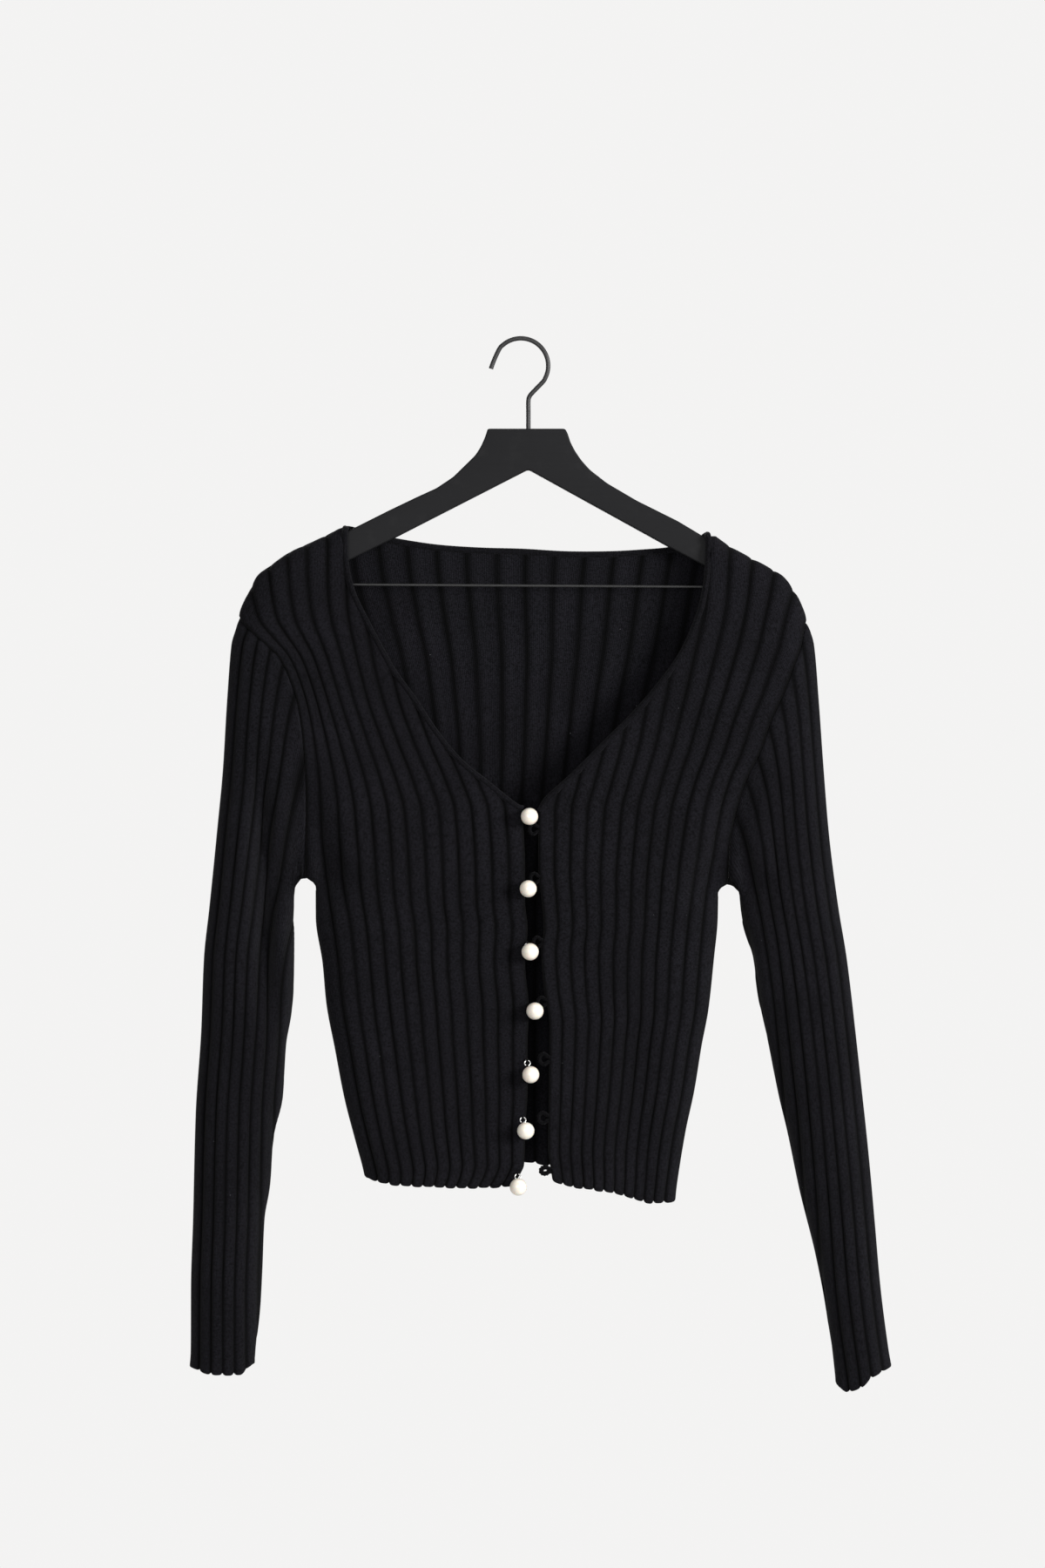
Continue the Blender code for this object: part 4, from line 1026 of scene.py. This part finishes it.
bar = {"wire": 2.1, "ends": ((-175, -196.2), (178, -198.4)), "points": 9, "tipRound": 0.5}
wires = {"sides": 6, "step": 1.0, "tipSteps": 4, "tipAngle": 60, "smoothUnder": 50}


def roundedOutline(points, reach):
    points = np.array(points, float)
    smooth = []
    for i, corner in enumerate(points):
        before, after = points[i - 1], points[(i + 1) % len(points)]
        start = corner + (before - corner) * min(0.45, reach / np.linalg.norm(before - corner))
        end = corner + (after - corner) * min(0.45, reach / np.linalg.norm(after - corner))
        for t in (0, 0.25, 0.5, 0.75, 1):
            smooth.append((1 - t) ** 2 * start + 2 * t * (1 - t) * corner + t * t * end)
    return np.array(smooth)


def curvePiece(name, addCurve, points, cyclic, **settings):
    selectNone()
    addCurve(location=(0, 0, 0))
    piece = bpy.context.object
    piece.name = name
    curve = piece.data
    curve.splines.clear()
    for key, value in settings.items():
        setattr(curve, key, value)
    spline = curve.splines.new("POLY")
    spline.points.add(len(points) - 1)
    for point, (x, y, z) in zip(spline.points, points):
        point.co = (x * mm, y * mm, z * mm, 1)
    spline.use_cyclic_u = cyclic
    setActive(piece)
    bpy.ops.object.convert(target="MESH")
    return bpy.context.object


def makeHanger():
    piece = curvePiece(
        "hangerArms",
        bpy.ops.curve.primitive_bezier_circle_add,
        [(x, z, 0) for x, z in roundedOutline(hanger["outline"], hanger["corner"])],
        True,
        dimensions="2D",
        fill_mode="BOTH",
        extrude=(hanger["thickness"] / 2 - hanger["edge"]) * mm,
        bevel_depth=hanger["edge"] * mm,
        bevel_resolution=hanger["edgeSteps"],
        offset=-hanger["edge"] * mm,
    )
    piece.rotation_euler = (math.radians(90), 0, 0)
    settle(piece)
    bpy.ops.object.mode_set(mode="EDIT")
    bpy.ops.mesh.select_all(action="SELECT")
    bpy.ops.mesh.remove_doubles(threshold=0.00001)
    bpy.ops.mesh.normals_make_consistent(inside=False)
    bpy.ops.object.mode_set(mode="OBJECT")
    bpy.ops.object.shade_smooth_by_angle(angle=math.radians(hanger["smoothUnder"]))
    return piece


def makeWire(name, points, diameter, tipRound):
    piece = curvePiece(
        name,
        bpy.ops.curve.primitive_nurbs_path_add,
        points,
        False,
        dimensions="3D",
        bevel_depth=diameter / 2 * mm,
        bevel_resolution=wires["sides"],
        use_fill_caps=True,
    )
    rounding = piece.modifiers.new("rounded tips", "BEVEL")
    rounding.width = tipRound * mm
    rounding.segments = wires["tipSteps"]
    rounding.limit_method = "ANGLE"
    rounding.angle_limit = math.radians(wires["tipAngle"])
    bpy.ops.object.modifier_apply(modifier=rounding.name)
    settle(piece)
    bpy.ops.object.shade_smooth_by_angle(angle=math.radians(wires["smoothUnder"]))
    return piece


hangerPiece = makeHanger()
centreZ = -(hook["radius"] - hook["wire"] / 2)
turns = np.radians(np.linspace(*hook["turns"]))
arc = circle(np.array([0, 0, centreZ]), hook["radius"], (1, 0, 0), (0, 0, 1), turns)
tip, stem = [[(x, 0, z) for x, z in hook[part]] for part in ("tip", "stem")]
hookLine = alongLine(tip + arc + stem, wires["step"])
hookPiece = makeWire("hookWire", hookLine, hook["wire"], hook["tipRound"])
(x0, z0), (x1, z1) = bar["ends"]
barPoints = [(x0 + (x1 - x0) * t, 0, z0 + (z1 - z0) * t) for t in np.linspace(0, 1, bar["points"])]
barPiece = makeWire("trouserBarWire", barPoints, bar["wire"], bar["tipRound"])
print("hanger made")

# Finishes. Noise scales are per metre, and bump heights are millimetres.


def feed(tree, socket, value):
    if isinstance(value, bpy.types.NodeSocket):
        tree.links.new(value, socket)
    else:
        socket.default_value = value


def nodeIn(tree, kind, inputs=None, **settings):
    node = tree.nodes.new(kind)
    for key, value in settings.items():
        setattr(node, key, value)
    for key, value in (inputs or {}).items():
        feed(tree, node.inputs[key], value)
    return node


def maths(tree, operation, *values):
    return nodeIn(tree, "ShaderNodeMath", dict(enumerate(values)), operation=operation).outputs[0]


def colourMix(tree, factor, first, second):
    first, second = [(*value, 1) if isinstance(value, tuple) else value for value in (first, second)]
    return nodeIn(tree, "ShaderNodeMix", {0: factor, 6: first, 7: second}, data_type="RGBA").outputs[2]


def noiseIn(tree, place, scale, detail=2, distortion=0):
    inputs = {"Vector": place, "Scale": scale, "Detail": detail, "Distortion": distortion}
    return nodeIn(tree, "ShaderNodeTexNoise", inputs).outputs[0]


def stretched(tree, value, low, high):
    return nodeIn(tree, "ShaderNodeMapRange", {0: value, 1: low, 2: high}).outputs[0]


def objectPlace(tree):
    return tree.nodes.new("ShaderNodeTexCoord").outputs["Object"]


def wearMask(tree, scale, low, high):
    return stretched(tree, noiseIn(tree, objectPlace(tree), scale, 6), low, high)


def newGroup(name, inputs, outputs):
    tree = bpy.data.node_groups.new(name, "ShaderNodeTree")
    for label, kind in inputs:
        tree.interface.new_socket(label, in_out="INPUT", socket_type=kind)
    for label in outputs:
        tree.interface.new_socket(label, in_out="OUTPUT", socket_type="NodeSocketFloat")
    return tree, tree.nodes.new("NodeGroupInput").outputs, tree.nodes.new("NodeGroupOutput").inputs


wool = {
    "slant": 0.8,  # how far a stitch's legs lean, in courses
    "legs": (0.6, 0.4),
    "hazeScale": 620,
    "cloudScale": 22,
    "lintScale": 150,
    "lintSize": 0.05,
    "lintColour": (0.06, 0.06, 0.065),
    # Painted shade: the rib relief, raised to this power, darkens the grooves towards the dark colour.
    "grooveShadePower": 2.0,
    # How much of the light colour each one gives: a share of its value, and a share that is always there. The
    # stitch's height darkens the hollows between stitches as painted shade; cloud and haze are random tone.
    "stitchShade": (0.5, 0.45),
    "cloudShade": (0.3, 0.85),
    "hazeShade": (1.2, 0.3),
    "cloudRange": (0.3, 0.7),
    "hazeHeight": 0.35,
    "bump": 0.7,
    "shader": {
        "Roughness": 0.92, "Specular IOR Level": 0.06, "Sheen Weight": 0.02, "Sheen Roughness": 0.4,
    },
}


# A stitch's height makes its bump, and the knit's colour also darkens with it as painted shade in the hollows
# between stitches.
def stitchGroup():
    tree, given, put = newGroup("knitStitch", [("Yarn", "NodeSocketVector")], ["Height", "Relief"])
    wale, course, relief = nodeIn(tree, "ShaderNodeSeparateXYZ", {0: given["Yarn"]}).outputs
    fromMiddle = maths(tree, "ABSOLUTE", maths(tree, "MULTIPLY_ADD", maths(tree, "FRACT", wale), 2.0, -1.0))
    leg = maths(tree, "MULTIPLY_ADD", fromMiddle, 2.0, -1.0)
    legRound = maths(tree, "SUBTRACT", 1.0, maths(tree, "MULTIPLY", leg, leg))
    slanted = maths(tree, "MULTIPLY_ADD", fromMiddle, wool["slant"], course)
    arched = maths(tree, "SINE", maths(tree, "MULTIPLY", maths(tree, "FRACT", slanted), math.pi))
    height = maths(tree, "MULTIPLY", legRound, maths(tree, "MULTIPLY_ADD", arched, *wool["legs"]))
    feed(tree, put["Height"], height)
    feed(tree, put["Relief"], relief)
    return tree


def fuzzGroup():
    inputs = [("Place", "NodeSocketVector"), ("Lint", "NodeSocketFloat")]
    tree, given, put = newGroup("woolFuzz", inputs, ["Haze", "Cloud", "Speck"])
    haze = noiseIn(tree, given["Place"], wool["hazeScale"], 5)
    cloud = noiseIn(tree, given["Place"], wool["cloudScale"])
    feed(tree, put["Haze"], stretched(tree, haze, *wool["cloudRange"]))
    feed(tree, put["Cloud"], stretched(tree, cloud, *wool["cloudRange"]))
    inputs = {"Vector": given["Place"], "Scale": wool["lintScale"]}
    cells = nodeIn(tree, "ShaderNodeTexVoronoi", inputs).outputs
    near = maths(tree, "LESS_THAN", cells["Distance"], wool["lintSize"])
    channel = nodeIn(tree, "ShaderNodeSeparateColor", {0: cells["Color"]}).outputs[0]
    chosen = maths(tree, "LESS_THAN", channel, given["Lint"])  # few cells hold a speck of lint
    feed(tree, put["Speck"], maths(tree, "MULTIPLY", near, chosen))
    return tree


stitch, fuzz = stitchGroup(), fuzzGroup()


def startMaterial(name):
    material = bpy.data.materials.new(name)
    material.use_nodes = True
    return material, material.node_tree, material.node_tree.nodes["Principled BSDF"].inputs


def feedAll(tree, inputs, values):
    for name, value in values.items():
        feed(tree, inputs[name], value)


def addBump(tree, shader, height, strength, distance):
    inputs = {"Strength": strength, "Distance": distance * mm, "Height": height}
    feed(tree, shader["Normal"], nodeIn(tree, "ShaderNodeBump", inputs).outputs[0])


def yarnMaterial(name, dark, light, lint, stitchDepth):
    material, tree, shader = startMaterial(name)
    yarn = nodeIn(tree, "ShaderNodeAttribute", attribute_name="yarnCoordinates").outputs["Vector"]
    knitted = nodeIn(tree, "ShaderNodeGroup", {"Yarn": yarn}, node_tree=stitch).outputs
    inputs = {"Place": objectPlace(tree), "Lint": lint}
    fuzzy = nodeIn(tree, "ShaderNodeGroup", inputs, node_tree=fuzz).outputs
    # Painted shade: the grooves between ribs and the hollows between stitches are mixed towards the dark
    # colour; cloud and haze vary the tone at random.
    paintedShadeAndTone = maths(tree, "POWER", maths(tree, "MAXIMUM", knitted["Relief"], 0.0), wool["grooveShadePower"])
    for value, shade in (
        (knitted["Height"], wool["stitchShade"]),
        (fuzzy["Cloud"], wool["cloudShade"]),
        (fuzzy["Haze"], wool["hazeShade"]),
    ):
        paintedShadeAndTone = maths(tree, "MULTIPLY", paintedShadeAndTone, maths(tree, "MULTIPLY_ADD", value, *shade))
    colour = colourMix(tree, fuzzy["Speck"], colourMix(tree, paintedShadeAndTone, dark, light), wool["lintColour"])
    feedAll(tree, shader, {"Base Color": colour, **wool["shader"]})
    height = maths(tree, "MULTIPLY_ADD", fuzzy["Haze"], wool["hazeHeight"], knitted["Height"])
    addBump(tree, shader, height, wool["bump"], stitchDepth)
    return material


lacquer = {
    "swirl": (160, 4, 1.2),  # scale, detail and distortion
    "swirlColours": ((0.64, 0.585, 0.485), (0.74, 0.69, 0.615)),
    "bloomScale": 45,
    "bloom": 0.25,
    "bloomColour": (0.73, 0.67, 0.62),
    "roughness": (0.18, 0.2),
    "bump": (0.12, 0.3),
    "shader": {
        "Coat Weight": 0.6, "Coat Roughness": 0.12, "Subsurface Weight": 0.12, "Subsurface Scale": 0.004,
    },
}


def pearlMaterial():
    material, tree, shader = startMaterial("pearl lacquer")
    place = objectPlace(tree)
    swirl = noiseIn(tree, place, *lacquer["swirl"])
    bloom = maths(tree, "MULTIPLY", noiseIn(tree, place, lacquer["bloomScale"]), lacquer["bloom"])
    colour = colourMix(tree, swirl, *lacquer["swirlColours"])
    colour = colourMix(tree, bloom, colour, lacquer["bloomColour"])
    rough = maths(tree, "MULTIPLY_ADD", swirl, *lacquer["roughness"])
    feedAll(tree, shader, {"Base Color": colour, "Roughness": rough, **lacquer["shader"]})
    addBump(tree, shader, swirl, *lacquer["bump"])
    return material


wireWear = {"mask": (0.35, 0.7), "bump": (0.05, 0.1)}


def wireMaterial(name, dark, light, metallic, low, high, scale):
    material, tree, shader = startMaterial(name)
    mask = wearMask(tree, scale, *wireWear["mask"])
    colour = colourMix(tree, mask, dark, light)
    rough = maths(tree, "MULTIPLY_ADD", mask, high - low, low)
    feedAll(tree, shader, {"Base Color": colour, "Roughness": rough, "Metallic": metallic})
    addBump(tree, shader, mask, *wireWear["bump"])
    return material


wood = {
    "stretch": (12, 160, 160),  # the grain runs along the arms
    "grain": (3, 6, 0.4),
    "grainColours": ((0.004, 0.004, 0.0045), (0.008, 0.008, 0.009)),
    "dustMask": (90, 0.55, 0.9),
    "dust": 0.3,
    "dustColour": (0.02, 0.02, 0.02),
    "roughness": (0.15, 0.5),
    "specular": 0.12,
    "bump": (0.06, 0.2),
}


def woodMaterial():
    material, tree, shader = startMaterial("black lacquered wood")
    inputs = {"Vector": objectPlace(tree), "Scale": wood["stretch"]}
    grain = noiseIn(tree, nodeIn(tree, "ShaderNodeMapping", inputs).outputs[0], *wood["grain"])
    dust = maths(tree, "MULTIPLY", wearMask(tree, *wood["dustMask"]), wood["dust"])
    colour = colourMix(tree, grain, *wood["grainColours"])
    colour = colourMix(tree, dust, colour, wood["dustColour"])
    rough = maths(tree, "MULTIPLY_ADD", grain, *wood["roughness"])
    feedAll(tree, shader, {"Base Color": colour, "Roughness": rough, "Specular IOR Level": wood["specular"]})
    addBump(tree, shader, grain, *wood["bump"])
    return material


# Each knit's first colour is painted shade for the grooves and stitch hollows, and the second is the colour
# of the crowns.
knitBlack = yarnMaterial("black rib knit", (0.0005, 0.0005, 0.0006), (0.0082, 0.0079, 0.0103), 0.03, 0.5)
yarnBlack = yarnMaterial("black yarn", (0.0006, 0.0006, 0.0008), (0.0048, 0.0046, 0.0056), 0.0, 0.3)
pearlCream = pearlMaterial()
silverWire = wireMaterial("silver wire", (0.86, 0.85, 0.83), (0.97, 0.96, 0.94), 1.0, 0.28, 0.42, 700)
blackWood = woodMaterial()
blackSteel = wireMaterial("blackened steel", (0.006, 0.006, 0.0065), (0.01, 0.01, 0.01), 0.1, 0.44, 0.54, 260)
print("finishes mixed")

# What stands for what.


def give(piece, material, slotName, *nodes):
    piece.data.materials.clear()
    piece.data.materials.append(material)
    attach(piece, "root")
    if nodes:
        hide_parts(*nodes)


for piece, node in (
    (frontRight, "front_right"),
    (frontLeft, "front_left"),
    (backPiece, "back"),
    (sleeveRight, "sleeve_right"),
    (sleeveLeft, "sleeve_left"),
    (bands[0], "neck_binding_right"),
    (bands[1], "neck_binding_left"),
    (bands[2], "neck_binding_back"),
):
    give(piece, knitBlack, "black_rib_knit", node)
for number in range(1, 8):
    give(pearlPieces[number - 1], pearlCream, "cream_pearl", f"pearl_{number}")
    give(eyePieces[number - 1], silverWire, "silver_wire", f"pearl_eye_{number}")
    give(loopPieces[number - 1], yarnBlack, "black_yarn", f"loop_{number}")
    for thread in threadPieces[number - 1]:
        give(thread, yarnBlack, "black_yarn")
give(hangerPiece, blackWood, "black_wood", "hanger_body")
give(hookPiece, blackSteel, "black_steel", "hook")
give(barPiece, blackSteel, "black_steel", "trouser_bar")

# Floor, light and camera, in metres and watts.

studio = {
    "backdrop": 0.9,
    "room": 0.4,
    "roomColour": (1.0, 0.995, 0.99, 1),
    "floorZ": -1.5,
    "floorSize": 3.0,
    "floorColours": ((0.60, 0.59, 0.58), (0.63, 0.62, 0.61)),
    "floorMask": (3, 0.2, 0.9),
    "floorRoughness": 0.9,
    "lights": {  # place, where it points, size and power
        "windowLight": ((3.2, -2.3, 0.3), (0, 0, -0.4), 1.5, 235),
        "fillLight": ((-0.4, -2.9, -0.2), (0, 0, -0.4), 1.6, 36),
        "topLight": ((0.1, -0.3, 1.5), (0, 0, -0.3), 1.2, 8),
        "backLight": ((-0.9, 2.8, 0.3), (0, 0, -0.4), 2.0, 60),
    },
    "cameraAway": 6.0,
    "middle": (0.0014, -0.012, -0.357),  # what the camera looks at
    "frameHeight": 1.26,
    "sensor": 36,
}

selectNone()
bpy.ops.mesh.primitive_plane_add(size=studio["floorSize"], location=(0, 0, studio["floorZ"]))
floor = bpy.context.object
floor.name = "paleFloor"
floorPaint, floorTree, floorShader = startMaterial("pale floor")
floorColour = colourMix(floorTree, wearMask(floorTree, *studio["floorMask"]), *studio["floorColours"])
feedAll(floorTree, floorShader, {"Base Color": floorColour, "Roughness": studio["floorRoughness"]})
floor.data.materials.append(floorPaint)

world = bpy.data.worlds.new("soft room")
world.use_nodes = True
roomTree = world.node_tree
seen = roomTree.nodes.new("ShaderNodeLightPath").outputs["Is Camera Ray"]
brightness = maths(roomTree, "MULTIPLY_ADD", seen, studio["backdrop"] - studio["room"], studio["room"])
room = roomTree.nodes["Background"].inputs
feedAll(roomTree, room, {"Color": studio["roomColour"], "Strength": brightness})
bpy.context.scene.world = world

for name, (place, target, size, power) in studio["lights"].items():
    bpy.ops.object.light_add(type="AREA", location=place)
    light = bpy.context.object
    light.name = name
    light.data.size = size
    light.data.energy = power
    light.rotation_euler = (Vector(target) - Vector(place)).to_track_quat("-Z", "Y").to_euler()

x, y, z = studio["middle"]
bpy.ops.object.camera_add(location=(x, y - studio["cameraAway"], z))
camera = bpy.context.object
camera.rotation_euler = (math.radians(90), 0, 0)
camera.data.sensor_fit = "VERTICAL"
camera.data.sensor_height = studio["sensor"]
camera.data.lens = studio["sensor"] * studio["cameraAway"] / studio["frameHeight"]
bpy.context.scene.camera = camera
bpy.context.scene.view_settings.view_transform = "Standard"
print("stage lit")
